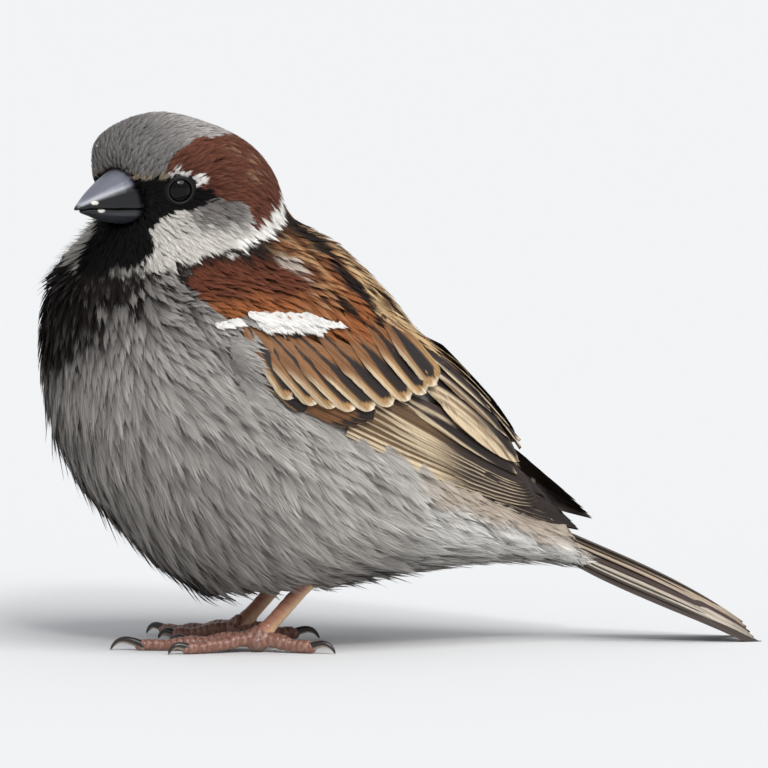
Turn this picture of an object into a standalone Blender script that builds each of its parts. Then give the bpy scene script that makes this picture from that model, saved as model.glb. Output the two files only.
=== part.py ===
"""House sparrow, adult male: the construction solids of a life-size still model.

The bird stands on the floor, Z = 0, and faces -Y, so its left side is +X. It is fluffed
up and looks over its left shoulder. Sizes are in millimetres until a mesh is made, where
MM turns them into metres. Head, neck and trunk are one loft, parted by thin cuts; the
bill, eyes, wings, tail and legs are solids of their own, set into it with a small gap.
"""

import math

import bmesh
import bpy
import numpy as np
from mathutils import Vector
from mathutils.bvhtree import BVHTree

MM = 0.001
GAP = 0.3  # between neighbouring solids
RING = 32  # points round the body

# The body as if the bird looked straight ahead: each row is one flat section, from the
# point on the back (y, z) to the point on the front (y, z). Turn twists it about the neck.
# A low bluntness squares the front of a section, and the pinch narrows its front.
NECK_AXIS_Y = -32.2
BODY = np.array([
    # turn, back y, z, front y, z, half width, bluntness, pinch
    (39, -42.0, 86.9, -42.0, 86.9, 0.0, 1.0, 0.00),  # top of the crown
    (39, -39.6, 86.6, -44.6, 86.6, 2.4, 1.0, 0.00),
    (39, -36.9, 85.9, -47.3, 85.9, 4.8, 1.0, 0.00),
    (39, -33.4, 84.8, -49.6, 84.8, 7.2, 0.9, 0.00),
    (39, -29.8, 83.4, -51.4, 83.4, 9.7, 0.8, 0.03),
    (39, -26.5, 81.6, -52.6, 81.6, 11.7, 0.7, 0.08),
    (39, -23.7, 79.3, -53.0, 79.3, 13.0, 0.7, 0.14),  # brow
    (39, -21.6, 77.0, -53.2, 77.0, 13.7, 0.7, 0.22),
    (39, -20.2, 74.6, -52.9, 74.2, 14.1, 0.7, 0.30),  # eye
    (39, -19.3, 72.2, -52.3, 71.0, 14.5, 0.8, 0.28),  # gape
    (39, -18.2, 70.3, -52.8, 67.8, 15.0, 0.9, 0.16),  # cheek and chin
    (34, -16.5, 68.8, -54.2, 64.8, 15.8, 1.0, 0.04),  # head meets neck
    (22, -14.2, 67.4, -55.6, 61.8, 17.3, 1.0, 0.00),
    (9, -10.4, 65.2, -57.9, 58.2, 19.5, 1.0, 0.00),  # neck meets trunk
    (2, -6.0, 61.0, -58.7, 52.0, 22.0, 1.0, 0.00),
    (0, -0.3, 54.6, -58.3, 42.5, 24.2, 1.0, 0.00),
    (0, 3.8, 48.0, -54.8, 30.5, 25.0, 1.0, 0.00),  # deepest part of the breast
    (0, 7.4, 41.6, -45.6, 18.8, 24.6, 1.0, 0.00),
    (0, 11.2, 35.6, -32.0, 8.2, 22.0, 1.0, 0.00),  # belly, over the feet
    (0, 15.8, 29.2, -15.0, 9.2, 17.6, 1.0, 0.00),
    (0, 21.5, 23.3, 3.5, 12.0, 12.2, 1.0, 0.00),  # vent
    (0, 27.0, 18.6, 18.0, 13.0, 8.0, 1.0, 0.00),
    (0, 31.0, 16.0, 27.5, 12.2, 5.4, 1.0, 0.00),
    (0, 33.6, 14.4, 33.0, 11.4, 3.2, 1.0, 0.00),  # under-tail coverts end
])
HEAD_END = 11  # rows of BODY where one solid ends and the next begins
NECK_END = 12.5
TRUNK_END = len(BODY) - 1

# The face, ahead of the neck's axis along the turned head, and above the floor
EYE_AHEAD = 14.2
EYE_Z = 74.9
EYE_RADIUS = 2.6
EYE_SHOWS = 1.95  # radius of the round window that the lids leave
BILL_UPPER = np.array([
    # ahead, ridge z, cutting edge z, half width
    (15.9, 79.0, 72.1, 4.7),
    (18.5, 78.6, 72.1, 4.5),
    (21.3, 77.6, 72.2, 3.9),
    (23.9, 76.2, 72.3, 3.0),
    (26.3, 74.7, 72.4, 1.9),
    (28.3, 73.3, 72.3, 0.9),
    (29.4, 72.5, 72.1, 0.3),
])
BILL_LOWER = np.array([
    # ahead, cutting edge z, keel z, half width
    (15.9, 71.8, 69.3, 4.3),
    (18.5, 71.8, 69.4, 4.1),
    (21.3, 71.9, 69.7, 3.4),
    (23.9, 72.0, 70.3, 2.5),
    (26.3, 72.1, 71.1, 1.5),
    (28.1, 72.0, 71.6, 0.5),
])

# The folded left wing, edge to edge: its upper edge x, y, z, its lower edge x, y, z, its
# thickness, and how steeply its face already falls at the upper edge, in degrees
WING = np.array([
    (20.6, -35.6, 60.6, 21.6, -36.8, 58.6, 2.0, 60),  # bend of the wing
    (17.6, -27.6, 62.6, 24.0, -35.6, 54.2, 2.2, 50),
    (14.2, -18.6, 62.4, 25.6, -30.4, 48.4, 2.6, 34),
    (11.2, -9.2, 59.0, 25.6, -22.0, 42.4, 2.6, 18),
    (4.2, 2.2, 51.2, 22.6, -10.3, 36.8, 2.2, 5),
    (1.2, 11.6, 42.2, 17.0, 1.8, 30.7, 1.8, 0),
    (1.1, 17.6, 34.6, 12.6, 10.7, 26.1, 1.5, 0),
    (1.3, 21.9, 27.3, 9.2, 17.9, 23.1, 1.2, 0),  # end of the longest tertial
    (2.6, 24.2, 23.0, 6.6, 23.0, 21.0, 1.0, 0),
    (3.7, 28.7, 18.7, 4.3, 28.9, 18.2, 0.8, 0),  # tip of the primaries
])
SHOULDER_FACES = (0.87, -0.35, 0.35)
WING_TIP_FROM = 7.15  # row of WING where the bare primaries begin
FAR_TIP_SHIFT = (0.6, 2.2, 1.9)  # the right wing's tip crosses behind and above the left one's

# The closed tail: centre line y, z, half width, drop of its outer edges, thickness
TAIL = np.array([
    (22.0, 20.2, 4.2, 1.2, 1.8),
    (30.0, 17.2, 4.9, 2.2, 1.8),
    (39.3, 12.7, 5.8, 3.1, 1.6),
    (46.5, 8.9, 6.6, 3.4, 1.4),
    (53.6, 4.4, 7.2, 2.6, 1.2),
    (57.4, 1.5, 7.2, 0.9, 1.0),
    (58.6, 0.8, 6.9, 0.2, 0.8),
])

# Legs: toe joint x, y, headings of the middle toe and of the hind toe outwards, in degrees,
# and how far the front toes reach, because the right foot's are drawn in
FEET = {"left": (9.5, -24.6, -14, 26, 1.0), "right": (9.0, -25.2, 42, 0, 0.76)}
SHANK_SLOPE = 38  # degrees that the shank rises, backwards
TOE_JOINT_Z = 3.6
SHANK_LENGTH = 11.2  # from the toe joint up to where the feathers begin
# Toes: degrees outwards from the middle toe, length to the claw, claw length
TOES = {"inner": (-26, 12.2, 4.4), "middle": (0, 17.6, 5.6), "outer": (25, 10.6, 3.9)}
HIND_TOE = (7.6, 5.0)
PALM = (2.9, 4.1, 2.5)  # half width, half length and half height where the toes meet


def clear_scene():
    for thing in list(bpy.data.objects):
        bpy.data.objects.remove(thing, do_unlink=True)


def spline(rows, at):
    """Reads rows of numbers at fractional places, along a smooth curve through them."""
    at = np.clip(np.atleast_1d(at), 0, len(rows) - 1)
    low = np.minimum(at.astype(int), len(rows) - 2)
    f = (at - low)[:, None]
    p0 = rows[np.maximum(low - 1, 0)]
    p1 = rows[low]
    p2 = rows[low + 1]
    p3 = rows[np.minimum(low + 2, len(rows) - 1)]
    bend = 2 * p0 - 5 * p1 + 4 * p2 - p3
    twist = 3 * p1 - p0 - 3 * p2 + p3
    return p1 + 0.5 * f * ((p2 - p0) + f * (bend + f * twist))


def smooth_step(low, high, value):
    f = np.clip((value - low) / (high - low), 0, 1)
    return f * f * (3 - 2 * f)


def unit(vectors):
    return vectors / np.linalg.norm(vectors, axis=-1, keepdims=True)


def paint(thing, colour, roughness, metallic=0.0):
    material = bpy.data.materials.new(thing.name)
    material.use_nodes = True
    shader = material.node_tree.nodes["Principled BSDF"]
    shader.inputs["Base Color"].default_value = (*colour, 1)
    shader.inputs["Roughness"].default_value = roughness
    shader.inputs["Metallic"].default_value = metallic
    thing.data.materials.append(material)


def solid(name, points, faces, colour=(0.4, 0.4, 0.4), roughness=0.7):
    """Makes one object from points in millimetres, with its faces turned outwards."""
    mesh = bpy.data.meshes.new(name)
    mesh.from_pydata((np.asarray(points) * MM).tolist(), [], faces)
    work = bmesh.new()
    work.from_mesh(mesh)
    bmesh.ops.recalc_face_normals(work, faces=work.faces)
    work.to_mesh(mesh)
    work.free()
    mesh.shade_smooth()
    thing = bpy.data.objects.new(name, mesh)
    bpy.context.collection.objects.link(thing)
    paint(thing, colour, roughness)
    return thing


def loft(rings, pole=None):
    """Skins closed rings of points; the ends are capped, or the first one runs to a pole."""
    count = len(rings[0])
    points = np.concatenate(rings)
    faces = []
    for row in range(len(rings) - 1):
        for i in range(count):
            j = (i + 1) % count
            low, high = row * count, (row + 1) * count
            faces.append((low + i, low + j, high + j, high + i))
    caps = [np.mean(rings[0], axis=0) if pole is None else pole, np.mean(rings[-1], axis=0)]
    for end, start in enumerate((0, (len(rings) - 1) * count)):
        middle = len(points) + end
        faces += [(start + i, start + (i + 1) % count, middle) for i in range(count)]
    return np.vstack([points, caps]), faces


def sheet(outer, inner):
    """Closes two grids of points, one under the other, into a thin solid of triangles."""
    rows, columns = outer.shape[:2]
    points = np.concatenate([outer.reshape(-1, 3), inner.reshape(-1, 3)])
    under = rows * columns
    faces = []
    for row in range(rows - 1):
        for column in range(columns - 1):
            a = row * columns + column
            b, c, d = a + 1, a + 1 + columns, a + columns
            for face in ((a, b, c), (a, c, d)):
                faces += [face, tuple(under + i for i in reversed(face))]
    rim = [c for c in range(columns)]
    rim += [r * columns + columns - 1 for r in range(1, rows)]
    rim += [(rows - 1) * columns + c for c in range(columns - 2, -1, -1)]
    rim += [r * columns for r in range(rows - 2, 0, -1)]
    for a, b in zip(rim, rim[1:] + rim[:1]):
        faces.append((b, a, under + a, under + b))
    return points, faces


def grown(thing, amount):
    """A hidden copy of a solid, fatter by the amount, to cut its seat with."""
    mesh = thing.data.copy()
    for vertex, normal in zip(mesh.vertices, [n.vector.copy() for n in mesh.vertex_normals]):
        vertex.co += normal * amount * MM
    copy = bpy.data.objects.new(thing.name + "_seat", mesh)
    bpy.context.collection.objects.link(copy)
    hide(copy)
    return copy


def hide(thing):
    thing.hide_render = True
    thing.display_type = "WIRE"


def cut(thing, tool, operation="DIFFERENCE"):
    modifier = thing.modifiers.new(operation.title(), "BOOLEAN")
    modifier.operation = operation
    modifier.object = tool
    modifier.solver = "EXACT"


def turned(ahead, sideways, height, degrees):
    """A place given along the turned head, in the bird's own frame."""
    angle = np.radians(degrees)
    x = ahead * np.sin(angle) + sideways * np.cos(angle)
    y = NECK_AXIS_Y - ahead * np.cos(angle) + sideways * np.sin(angle)
    return np.stack(np.broadcast_arrays(x, y, height), axis=-1)


def body_ring(place, shift=0.0):
    """One closed section of the body; shift moves it along its own axis, for a parting cut."""
    turn, back_y, back_z, front_y, front_z, half, blunt, pinch = spline(BODY, place)[0]
    angle = np.linspace(0, 2 * math.pi, RING, endpoint=False) - math.radians(turn)
    forward = (1 + np.cos(angle)) / 2
    side = np.sin(angle)
    power = 1 + (blunt - 1) * forward
    width = half * np.sign(side) * np.abs(side) ** power
    width *= 1 - pinch * smooth_step(0.45, 0.85, forward)
    y = back_y + (front_y - back_y) * forward
    z = back_z + (front_z - back_z) * forward
    ring = turned(NECK_AXIS_Y - y, width, z, turn)
    if shift:
        along = Vector((0, back_z - front_z, front_y - back_y)).normalized()
        ring = ring + shift * np.array(along)
    return ring


def make_body():
    head_places = np.linspace(1, HEAD_END, 16)
    head_rings = [body_ring(p) for p in head_places[:-1]] + [body_ring(HEAD_END, -GAP / 2)]
    crown = BODY[0][[1, 2]]
    pole = turned(NECK_AXIS_Y - crown[0], 0.0, crown[1], BODY[0][0])
    head = solid("head", *loft(head_rings, pole), colour=(0.22, 0.2, 0.19))
    neck_places = np.linspace(HEAD_END, NECK_END, 5)
    neck_rings = [body_ring(HEAD_END, GAP / 2)]
    neck_rings += [body_ring(p) for p in neck_places[1:-1]] + [body_ring(NECK_END, -GAP / 2)]
    solid("neck", *loft(neck_rings), colour=(0.05, 0.045, 0.04))
    trunk_places = np.linspace(NECK_END, TRUNK_END, 20)
    trunk_rings = [body_ring(NECK_END, GAP / 2)] + [body_ring(p) for p in trunk_places[1:]]
    trunk = solid("trunk", *loft(trunk_rings), colour=(0.38, 0.36, 0.34))
    return head, trunk


def bill_half(name, rows, flat_below):
    """One mandible: a half-round beam with a flat cutting face, tapering to the tip."""
    rings = []
    for ahead, top, bottom, half in spline(rows, np.linspace(0, len(rows) - 1, 10)):
        arch = np.linspace(0, math.pi, 9)
        side = half * np.cos(arch)
        rise = np.sin(arch) ** 0.85
        height = bottom + (top - bottom) * rise if flat_below else top - (top - bottom) * rise
        rings.append(turned(np.full(9, ahead), side, height, BODY[0][0]))
    return solid(name, *loft(rings), colour=(0.06, 0.06, 0.065), roughness=0.35)


def make_bill(head):
    for thing in (
        bill_half("bill_upper", BILL_UPPER, True),
        bill_half("bill_lower", BILL_LOWER, False),
    ):
        cut(head, grown(thing, 1.15 * GAP))


def make_eyes(head):
    """Each eyeball is sunk until only a round window of it stands out of the face."""
    skin = BVHTree.FromPolygons(
        [v.co for v in head.data.vertices], [p.vertices for p in head.data.polygons]
    )
    for side, sign in (("left", 1), ("right", -1)):
        start = turned(EYE_AHEAD, sign * 30.0, EYE_Z, BODY[0][0])
        aim = turned(EYE_AHEAD, 0.0, EYE_Z, BODY[0][0]) - start
        place, normal, _, _ = skin.ray_cast(Vector(start * MM), Vector(aim).normalized())
        depth = math.sqrt(EYE_RADIUS**2 - EYE_SHOWS**2)
        work = bmesh.new()
        bmesh.ops.create_uvsphere(work, u_segments=14, v_segments=8, radius=EYE_RADIUS * MM)
        mesh = bpy.data.meshes.new("eye_" + side)
        work.to_mesh(mesh)
        work.free()
        turn = normal.to_track_quat("Z", "Y").to_matrix().to_4x4()
        mesh.transform(turn)
        for vertex in mesh.vertices:
            vertex.co += place - normal * depth * MM
        mesh.shade_smooth()
        eye = bpy.data.objects.new("eye_" + side, mesh)
        bpy.context.collection.objects.link(eye)
        paint(eye, (0.012, 0.01, 0.01), 0.08)
        cut(head, grown(eye, GAP))


def wing_grid(side, places, columns):
    """Points over the outer face of a folded wing, and how thick it is at each."""
    rows = spline(WING, places)
    top, bottom = rows[:, None, 0:3], rows[:, None, 3:6]
    first = np.radians(np.maximum(rows[:, 7], 0))[:, None, None]
    fall = first + (math.pi / 2 - first) * np.linspace(0, 1, columns)[None, :, None]
    out = (np.sin(fall) - np.sin(first)) / (1 - np.sin(first))
    down = 1 - np.cos(fall) / np.cos(first)
    grid = np.concatenate([
        top[..., :1] + (bottom - top)[..., :1] * out,
        top[..., 1:] + (bottom - top)[..., 1:] * down,
    ], axis=2)
    if side == "right":
        reach = smooth_step(4.5, len(WING) - 1, np.asarray(places))[:, None, None]
        grid = (grid - reach * np.array((FAR_TIP_SHIFT[0], 0, 0))) * (-1, 1, 1)
        grid = grid + reach * np.array((0, *FAR_TIP_SHIFT[1:]))
    return grid, rows[:, 6][:, None, None]


def grid_normals(grid, side, places):
    """Which way each point faces; at the narrow ends, a whole row faces one way."""
    along = np.gradient(grid, axis=0)
    across = np.gradient(grid, axis=1)
    normals = unit(np.cross(across, along))
    sign = 1 if side == "left" else -1
    normals = sign * normals
    at = np.asarray(places)[:, None, None]
    bend = 1 - smooth_step(0.0, 0.8, at)
    tip = smooth_step(6.0, 8.0, at)
    row_mean = normals.mean(axis=1, keepdims=True)
    shoulder = np.array((sign * SHOULDER_FACES[0], *SHOULDER_FACES[1:]))
    return unit(normals * (1 - tip) * (1 - bend) + row_mean * tip + shoulder * bend)


def padded(grid, amount):
    """Extends a grid past its four edges, for a cutter."""
    for axis in (0, 1):
        first, second = np.take(grid, [0], axis), np.take(grid, [1], axis)
        last, before = np.take(grid, [-1], axis), np.take(grid, [-2], axis)
        head = first + amount * unit(first - second)
        tail = last + amount * unit(last - before)
        grid = np.concatenate([head, grid, tail], axis=axis)
    return grid


def make_wing(side, trunk):
    covered = ("wing_" + side, np.linspace(0, WING_TIP_FROM, 17), 9, (0.2, 0.09, 0.04))
    bare_from = WING_TIP_FROM + 0.09
    bare = ("wing_tip_" + side, np.linspace(bare_from, len(WING) - 1, 7), 6, (0.04, 0.03, 0.025))
    for name, places, columns, colour in (covered, bare):
        grid, thick = wing_grid(side, places, columns)
        normals = grid_normals(grid, side, places)
        solid(name, *sheet(grid, grid - normals * thick), colour=colour)
    places = np.concatenate([covered[1], bare[1][1::2]])
    seat, thick = wing_grid(side, places, covered[2])
    normals = grid_normals(seat, side, places)
    clearance = 1.8 * GAP
    above = padded(seat + 7 * normals, clearance)
    below = padded(seat - normals * (thick + clearance), clearance)
    seat = solid(f"wing_{side}_seat", *sheet(above, below))
    hide(seat)
    cut(trunk, seat)


def make_tail(trunk):
    rows = spline(TAIL, np.linspace(0, len(TAIL) - 1, 13))[:, None, :]
    across = np.linspace(-1, 1, 9)[None, :]
    y = rows[..., 0] - 0.6 * np.abs(across) * smooth_step(50, 58, rows[..., 0])
    x = rows[..., 2] * across
    top = rows[..., 1] - rows[..., 3] * np.abs(across) ** 1.5
    under = np.maximum(top - rows[..., 4], 0)
    upper = np.stack([x, y, np.maximum(top, under + 0.6)], axis=-1)
    lower = np.stack([x, y, under], axis=-1)
    tail = solid("tail", *sheet(upper, lower), colour=(0.16, 0.13, 0.11))
    cut(trunk, grown(tail, 1.3 * GAP))


def tube(path, radii, sides=10, floor=None):
    """A round limb along a path in the plane of its heading; each radius is (wide, deep)."""
    path = np.asarray(path, float)
    along = unit(np.gradient(path, axis=0))
    level = unit(np.cross(along, (0, 0, 1)))
    up = np.cross(level, along)
    rings = []
    for place, sideways, upwards, (wide, deep) in zip(path, level, up, radii):
        angle = np.linspace(0, 2 * math.pi, sides, endpoint=False)[:, None]
        ring = place + sideways * wide * np.cos(angle) + upwards * deep * np.sin(angle)
        if floor is not None:
            ring[:, 2] = np.maximum(ring[:, 2], floor)
        rings.append(ring)
    return loft(rings)


def make_toe(name, joint, heading, start, length, claw):
    """A toe lies on its flat sole; its claw arches forward off the last pad."""
    ahead = np.array((math.sin(heading), -math.cos(heading), 0))
    steps = np.array((0, 0.18, 0.4, 0.62, 0.84, 1.0))
    rise = np.array((1.45, 1.3, 1.12, 1.1, 1.05, 1.1))
    radii = [(0.72, 0.8), (0.95, 1.15), (0.95, 1.15), (0.9, 1.05), (0.98, 1.1), (0.62, 0.75)]
    path = joint + ahead * (start + (length - start) * steps)[:, None]
    path[:, 2] = rise
    solid(name, *tube(path, radii, 8, 0.0), colour=(0.36, 0.19, 0.12), roughness=0.5)
    bend = np.linspace(0, 1, 6)
    hook = joint + ahead * (length + 1.25 * GAP + claw * np.sin(bend * 1.45) / math.sin(1.45))[:, None]
    hook[:, 2] = 1.4 + 0.26 * claw * np.sin(bend * 2.3) - (0.9 + 0.26 * claw) * bend**2.3
    sizes = [(0.55 * (1 - 0.78 * b), 0.72 * (1 - 0.78 * b)) for b in bend]
    solid(name.replace("toe", "claw"), *tube(hook, sizes, 6, 0.05), colour=(0.05, 0.04, 0.04))


def make_leg(side, trunk):
    sign = 1 if side == "left" else -1
    x, y, heading, hind, reach = FEET[side]
    joint = np.array((sign * x, y, 0.0))
    slope = math.radians(SHANK_SLOPE)
    back = np.array((0, math.cos(slope), math.sin(slope)))
    knuckle = joint + (0, 0, TOE_JOINT_Z)
    steps = np.array((0.0, 1.6, 4.0, 7.0, 10.0, SHANK_LENGTH))
    radii = [(1.5, 1.6), (1.35, 1.5), (1.1, 1.35), (1.0, 1.3), (1.05, 1.35), (1.1, 1.4)]
    shank = solid("tarsus_" + side, *tube(knuckle + back * steps[:, None], radii), (0.4, 0.22, 0.14))
    work = bmesh.new()
    bmesh.ops.create_uvsphere(work, u_segments=12, v_segments=7, radius=1)
    middle = Vector(joint + (0, 0, 1.75))
    for vertex in work.verts:
        spot = Vector(c * size for c, size in zip(vertex.co, PALM)) + middle
        vertex.co = (spot.x, spot.y, max(spot.z, 0.0))
    faces = [[v.index for v in f.verts] for f in work.faces]
    palm = solid("palm_" + side, [tuple(v.co) for v in work.verts], faces)
    work.free()
    hide(palm)
    cut(shank, palm, "UNION")
    for name, (spread, length, claw) in TOES.items():
        angle = math.radians(sign * (heading + spread))
        start = PALM[1] + 1.2 * GAP
        make_toe(f"toe_{name}_{side}", joint, angle, start, length * reach, claw * reach)
    angle = math.pi - math.radians(sign * hind)
    make_toe(f"toe_hind_{side}", joint, angle, PALM[1] + 1.2 * GAP, *HIND_TOE)
    steps = SHANK_LENGTH + 1.2 * GAP + np.array((0, 1.5, 4.5, 8.5, 12.5, 15.0))
    sizes = np.array((1.9, 2.4, 3.3, 4.5, 4.1, 2.4))
    thigh = tube(knuckle + back * steps[:, None], np.column_stack([sizes, sizes]), 12)
    solid("thigh_" + side, *thigh, colour=(0.36, 0.32, 0.28))
    steps = np.concatenate([(2.5, SHANK_LENGTH - 1.2), steps - 0.5, steps[-1:] + 0.5])
    sizes = np.concatenate([(2.0, 2.1), sizes + 0.6, (2.2,)])
    seat = tube(knuckle + back * steps[:, None], np.column_stack([sizes, sizes]), 12)
    seat = solid("thigh_" + side + "_seat", *seat)
    hide(seat)
    cut(trunk, seat)


def main():
    clear_scene()
    head, trunk = make_body()
    make_bill(head)
    make_eyes(head)
    for side in ("left", "right"):
        make_wing(side, trunk)
        make_leg(side, trunk)
    make_tail(trunk)


main()
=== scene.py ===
# %% [markdown]
# # A cock house sparrow, feather by feather
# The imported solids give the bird's true size and outline. This file dresses them: one skin, a horny
# bill, wet eyes, scaly feet, and a coat in which every feather is real mesh. All sizes are in
# millimetres until a mesh is made.

# %% Load the frame
import itertools
import math

import bmesh
import bpy
import numpy as np
from mathutils import Matrix, Vector
from mathutils.bvhtree import BVHTree
from mathutils.kdtree import KDTree


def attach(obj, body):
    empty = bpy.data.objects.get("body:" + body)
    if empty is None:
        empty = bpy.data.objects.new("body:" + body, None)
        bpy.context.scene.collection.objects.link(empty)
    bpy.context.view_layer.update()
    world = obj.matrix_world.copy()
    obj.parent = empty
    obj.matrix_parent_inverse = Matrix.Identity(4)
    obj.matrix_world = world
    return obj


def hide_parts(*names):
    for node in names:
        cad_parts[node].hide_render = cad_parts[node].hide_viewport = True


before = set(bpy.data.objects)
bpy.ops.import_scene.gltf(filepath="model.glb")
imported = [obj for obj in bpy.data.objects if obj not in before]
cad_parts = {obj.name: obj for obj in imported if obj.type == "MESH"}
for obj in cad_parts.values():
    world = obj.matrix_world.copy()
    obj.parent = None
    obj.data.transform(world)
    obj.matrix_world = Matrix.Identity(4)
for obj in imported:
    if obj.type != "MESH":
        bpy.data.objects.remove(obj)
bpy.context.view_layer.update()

MM = 0.001
SIDES = {"left": 1, "right": -1}  # and the sign of x there
print("solids in the frame:", len(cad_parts))

# %% [markdown]
# ## Small tools
# Meshes are handled as arrays of points and faces, because moving thousands of points at once is
# then one line. A spline through a few named rows gives the smooth tables that shapes need.

# %% Arrays in, arrays out
def unit(v):
    return v / np.maximum(np.linalg.norm(v, axis=-1, keepdims=True), 1e-9)


def ramp(low, high, value):
    """Rises smoothly from 0 at low to 1 at high, whichever of the two is the greater."""
    f = np.clip((value - low) / (high - low), 0, 1)
    return f * f * (3 - 2 * f)


def spline(rows, at):
    """Reads rows of numbers at fractional places along a smooth curve through them."""
    rows = np.asarray(rows, float)
    at = np.clip(np.atleast_1d(at), 0, len(rows) - 1)
    low = np.minimum(at.astype(int), len(rows) - 2)
    f = (at - low)[:, None]
    p0, p1, p2 = rows[np.maximum(low - 1, 0)], rows[low], rows[low + 1]
    p3 = rows[np.minimum(low + 2, len(rows) - 1)]
    bend = 2 * p0 - 5 * p1 + 4 * p2 - p3
    twist = 3 * p1 - p0 - 3 * p2 + p3
    return p1 + 0.5 * f * ((p2 - p0) + f * (bend + f * twist))


def face_normals(points, faces):
    """Normals of triangles, each as long as twice its area."""
    a, b, c = (points[faces[:, i]] for i in range(3))
    return np.cross(b - a, c - a)


def normals_of(points, faces):
    """A unit normal for each point, from the triangles round it."""
    across = face_normals(points, faces)
    total = np.zeros_like(points)
    for i in range(3):
        np.add.at(total, faces[:, i], across)
    return unit(total)


def mesh_arrays(mesh):
    """Points in millimetres and triangles, with doubled points welded."""
    work = bmesh.new()
    work.from_mesh(mesh)
    bmesh.ops.remove_doubles(work, verts=work.verts, dist=1e-6)
    bmesh.ops.triangulate(work, faces=work.faces)
    points = np.array([v.co for v in work.verts]) / MM
    faces = np.array([[v.index for v in f.verts] for f in work.faces])
    work.free()
    return points, faces


def new_mesh(name, points, faces):
    """A mesh from points in millimetres and faces that all have the same number of corners."""
    mesh = bpy.data.meshes.new(name)
    points = np.asarray(points, np.float32) * MM
    faces = np.asarray(faces, np.int32)
    count, corners = faces.shape
    mesh.vertices.add(len(points))
    mesh.vertices.foreach_set("co", points.ravel())
    mesh.loops.add(count * corners)
    mesh.loops.foreach_set("vertex_index", faces.ravel())
    mesh.polygons.add(count)
    mesh.polygons.foreach_set("loop_start", np.arange(0, count * corners, corners, dtype=np.int32))
    mesh.update(calc_edges=True)
    return mesh


def place(name, mesh):
    """Puts a mesh, a lamp or a camera into the scene as an object."""
    thing = bpy.data.objects.new(name, mesh)
    bpy.context.collection.objects.link(thing)
    return thing


# %% [markdown]
# ## Colours and shader maths
# Colours are named in the usual 0 to 255 values and turned into linear light. A small class
# wraps a shader socket, so that material sums read like arithmetic. Each sum on a wire adds a Math
# node, and any other node comes from one method.

# %% Colours
def light(red, green, blue):
    """A colour in linear light, from the values that a screen would show."""
    c = np.array((red, green, blue)) / 255
    return np.where(c <= 0.04045, c / 12.92, ((c + 0.055) / 1.055) ** 2.4)


def mix(a, b, f):
    """Blends colour a into b; f is one number for each row."""
    f = np.asarray(f)[..., None]
    return np.asarray(a) * (1 - f) + np.asarray(b) * f


# %% Sockets that add up
class Wire:
    """One shader socket or number; sums on it add Math nodes to its tree."""

    def __init__(self, tree, socket):
        self.tree = tree
        self.socket = socket

    def node(self, kind, settings=None, values=None, out=0):
        """Adds any node: its settings first, then the values or links of its sockets."""
        made = self.tree.nodes.new(kind)
        for key, value in (settings or {}).items():
            setattr(made, key, value)
        for key, value in (values or {}).items():
            if isinstance(value, Wire):
                self.tree.links.new(value.socket, made.inputs[key])
            else:
                made.inputs[key].default_value = value
        return Wire(self.tree, made.outputs[out])

    def maths(self, operation, first, second):
        """One Math node on two wires or numbers."""
        return self.node("ShaderNodeMath", {"operation": operation}, {0: first, 1: second})

    def __add__(self, other):
        return self.maths("ADD", self, other)

    def __sub__(self, other):
        return self.maths("SUBTRACT", self, other)

    def __mul__(self, other):
        return self.maths("MULTIPLY", self, other)

    def __rsub__(self, other):
        return self.maths("SUBTRACT", other, self)

    __radd__ = __add__
    __rmul__ = __mul__

    def steps(self, low, high, to_low=0.0, to_high=1.0):
        """Maps low..high smoothly onto to_low..to_high."""
        values = {"From Min": low, "From Max": high, "To Min": to_low, "To Max": to_high}
        settings = {"interpolation_type": "SMOOTHSTEP"}
        return self.node("ShaderNodeMapRange", settings, {"Value": self, **values})


def principled(name, **values):
    """A material with its Principled shader set; returns it, a wire to build with and the shader."""
    material = bpy.data.materials.new(name)
    material.use_nodes = True
    tree = material.node_tree
    tree.nodes.clear()
    shader = tree.nodes.new("ShaderNodeBsdfPrincipled")
    output = tree.nodes.new("ShaderNodeOutputMaterial")
    tree.links.new(shader.outputs[0], output.inputs[0])
    for key, value in values.items():
        shader.inputs[key.replace("_", " ")].default_value = value
    return material, Wire(tree, None), shader


def plug(wire, shader, name):
    """Links a wire to a named socket of a shader."""
    wire.tree.links.new(wire.socket, shader.inputs[name])


def attribute(wire, name, out="Color"):
    """A wire that reads what a mesh stores under a name."""
    return wire.node("ShaderNodeAttribute", {"attribute_name": name}, out=out)


# %% [markdown]
# ## The head's own frame
# The head looks over the left shoulder, so its markings are easier to place in its own frame: how
# far ahead of the neck's axis, how far to the side, and how high. The line through both eyes is
# straight across it, so their solids give its aim.

# %% Head frame
def node_points(*names):
    """All points of the named solids."""
    return np.concatenate([mesh_arrays(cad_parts[n].data)[0] for n in names])


EYES = {side: node_points("eye_" + side).mean(axis=0) for side in SIDES}
EYE_MIDDLE = (EYES["left"] + EYES["right"]) / 2
HEAD_SIDE = unit((EYES["left"] - EYES["right"]) * (1, 1, 0))
HEAD_AHEAD = unit(np.array((HEAD_SIDE[1], -HEAD_SIDE[0], 0.0)))
EYES_AHEAD = 14.2  # how far the eyes are ahead of the neck's axis
NECK_AXIS = EYE_MIDDLE - EYES_AHEAD * HEAD_AHEAD
FACE_RING = (2.9, 4.6)  # distances from the eye where the facing of the face is read


def eye_axis(side):
    """Which way the eye looks out: the mean facing of the face just round it."""
    points, faces = mesh_arrays(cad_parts["head"].data)
    gap = np.linalg.norm(points[faces].mean(axis=1) - EYES[side], axis=1)
    ring = (gap > FACE_RING[0]) & (gap < FACE_RING[1])
    return unit(face_normals(points, faces)[ring].sum(axis=0))


EYE_OUT = {side: eye_axis(side) for side in SIDES}
print("eyes look out along", {side: out.round(2).tolist() for side, out in EYE_OUT.items()})


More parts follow.
